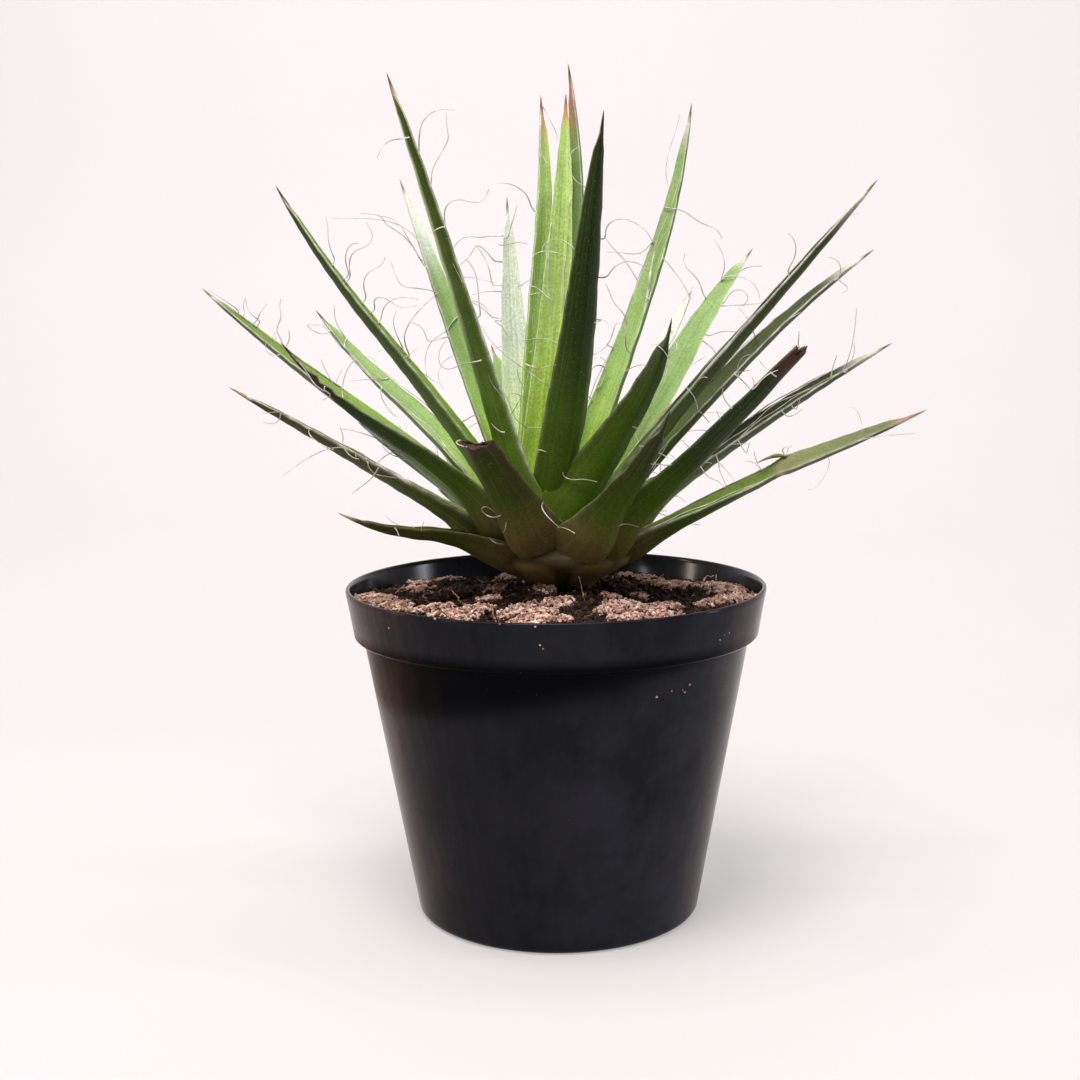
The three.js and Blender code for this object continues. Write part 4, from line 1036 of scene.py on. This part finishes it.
def makeThreads():
    low, high = cadBox
    found = [[] for _ in leaves]
    for path in tracedThreads:
        index, points = traceThread(path)
        found[index].append((points, threads["traced"]))
    for index, leaf in enumerate(leaves):
        draw = random.Random(threads["seed"] + index)
        for _ in range(threads["perLeaf"] + (threads["hiddenMore"] if index >= threads["inView"] else 0)):
            for _ in range(threads["tries"]):
                points = growThread(leaf, draw)
                if threadIsFree(points):
                    found[index].append((points, threads["radius"]))
                    break
        found[index] += [(growStrip(leaf, draw), threads["traced"]) for _ in range(leaf["strips"])]
        paths = [(points, np.interp(np.linspace(0, 1, len(points)), [0, 0.15, 1], [1.1, 0.9, 0.45]) * radius)
                 for points, radius in found[index]
                 if all(low[k] < p[k] * mm < high[k] for p in points for k in range(3))]
        strandPiece(f"leafThreads{index + 1:02d}", paths, threadHorn, leafSlot(leaf))


eye, facing = Vector(cameraFit["place"]), turn.to_3x3()
bladeTree, margins = bladesAsTree(), marginsInView()
makeThreads()

# a torn strip hangs on at the fold of leaf 24, green with a white curl
flap = {"Green": ([784, 456, -6, -1, -8, 2, -7, 3, -6, 3], 0.9, leafSkin),
        "Curl": ([784, 455, -3, -5, 2, -4, 6, 1], 0.35, threadHorn)}


def makeFlap():
    for name, (path, radius, material) in flap.items():
        points = traceThread(path)[1]
        radii = np.interp(np.linspace(0, 1, len(points)), [0, 0.3, 1], [0.5, 1, 0.15]) * radius
        piece = strandPiece("leafFlap" + name, [(points, radii)], material, "leaf", 2)
        paintPoints(piece, "leafPaint", [(*tint("#7c8654"), 0.3)] * len(piece.data.vertices))


makeFlap()
print("threads done")


# stage: a sweep of pale paper, and soft lamps
stage = {"width": 6.0, "front": -3.0, "back": 1.6, "height": 3.4, "bend": 0.5, "paperGlow": 0.39}


def makeStage():
    pick()
    bpy.ops.mesh.primitive_plane_add(size=1, location=(0, (stage["front"] + stage["back"]) / 2, 0))
    sweep = named("paperSweep")
    sweep.scale = (stage["width"], stage["back"] - stage["front"], 1)
    bpy.ops.object.transform_apply(location=True, rotation=False, scale=True)
    setMode("EDIT")
    bpy.ops.mesh.select_all(action="DESELECT")
    setMode("OBJECT")
    for edge in sweep.data.edges:
        edge.select = all(sweep.data.vertices[i].co.y > stage["back"] - 0.01 for i in edge.vertices)
    setMode("EDIT")
    bpy.ops.mesh.select_mode(type="EDGE")
    bpy.ops.mesh.extrude_region_move(TRANSFORM_OT_translate={"value": (0, 0, stage["height"])})
    setMode("OBJECT")
    fold = sweep.modifiers.new("bend", "BEVEL")
    fold.width = stage["bend"]
    fold.segments = 16
    bpy.ops.object.modifier_apply(modifier="bend")
    bpy.ops.object.shade_smooth()
    glow = {"Emission_Color": (*tint("#fdf7f7"), 1), "Emission_Strength": stage["paperGlow"]}
    material, tree, _, spot = newMaterial("palePaper", 0.9, **glow)
    paper = ramp(tree, speckle(tree, spot, 1.3, 2), (0.3, "#c4c1c3"), (0.7, "#c9c6c8"))
    back = remap(tree, put(tree, "SeparateXYZ", Vector=spot).outputs["Y"], 0.3, 1.55)
    # the floor is toned down, because it takes the lamp full on
    sweep.data.materials.append(finishSkin(material, blendColours(tree, back, "#a09f9f", paper)))


lamps = {  # place, where it points, size, watts, colour
    "overhead": ((-0.15, -0.45, 1.45), (0, 0, 0.2), (0.6, 0.6), 24, "#fff8f0"),
    "leftStrip": ((-1.2, 0.02, 0.45), (0, 0, 0.15), (0.1, 0.8), 3.0, "#ffe6d8"),
    "rightStrip": ((1.2, -0.05, 0.45), (0, 0, 0.15), (0.12, 0.8), 4.0, "#f2f6ff"),
    "cornerStrip": ((-1.18, -0.76, 0.45), (0, 0, 0.15), (0.06, 0.8), 1.6, "#f2f6ff"),
    "wallWash": ((0.0, 0.2, 2.6), (0, 1.6, 1.0), (3.0, 0.6), 34, "#fbf8f9"),
}


def makeLamps():
    for name, (place, aim, size, watts, colour) in lamps.items():
        bpy.ops.object.light_add(type="AREA", location=place)
        lamp = named(name)
        lamp.rotation_euler = (Vector(aim) - Vector(place)).to_track_quat("-Z", "Y").to_euler()
        lamp.data.shape = "RECTANGLE"
        lamp.data.size, lamp.data.size_y = size
        lamp.data.energy = watts
        lamp.data.color = tint(colour)
    world = bpy.data.worlds.new("studioAir")
    world.use_nodes = True
    tree = world.node_tree  # bright beyond the backdrop, dimmer on the camera's side, as in a room with one lit wall
    heading = put(tree, "SeparateXYZ", Vector=put(tree, "TexCoord").outputs["Generated"]).outputs["Y"]
    air = ramp(tree, remap(tree, heading, -1, 1), (0.0, "#5c5c60"), (0.45, "#8a8786"), (0.75, "#f3ecea"))
    feed(tree, air, tree.nodes["Background"].inputs["Color"])
    feed(tree, 0.6, tree.nodes["Background"].inputs["Strength"])
    bpy.context.scene.world = world
    bpy.context.scene.view_settings.view_transform = "Standard"


makeStage()
makeLamps()
print("stage done")
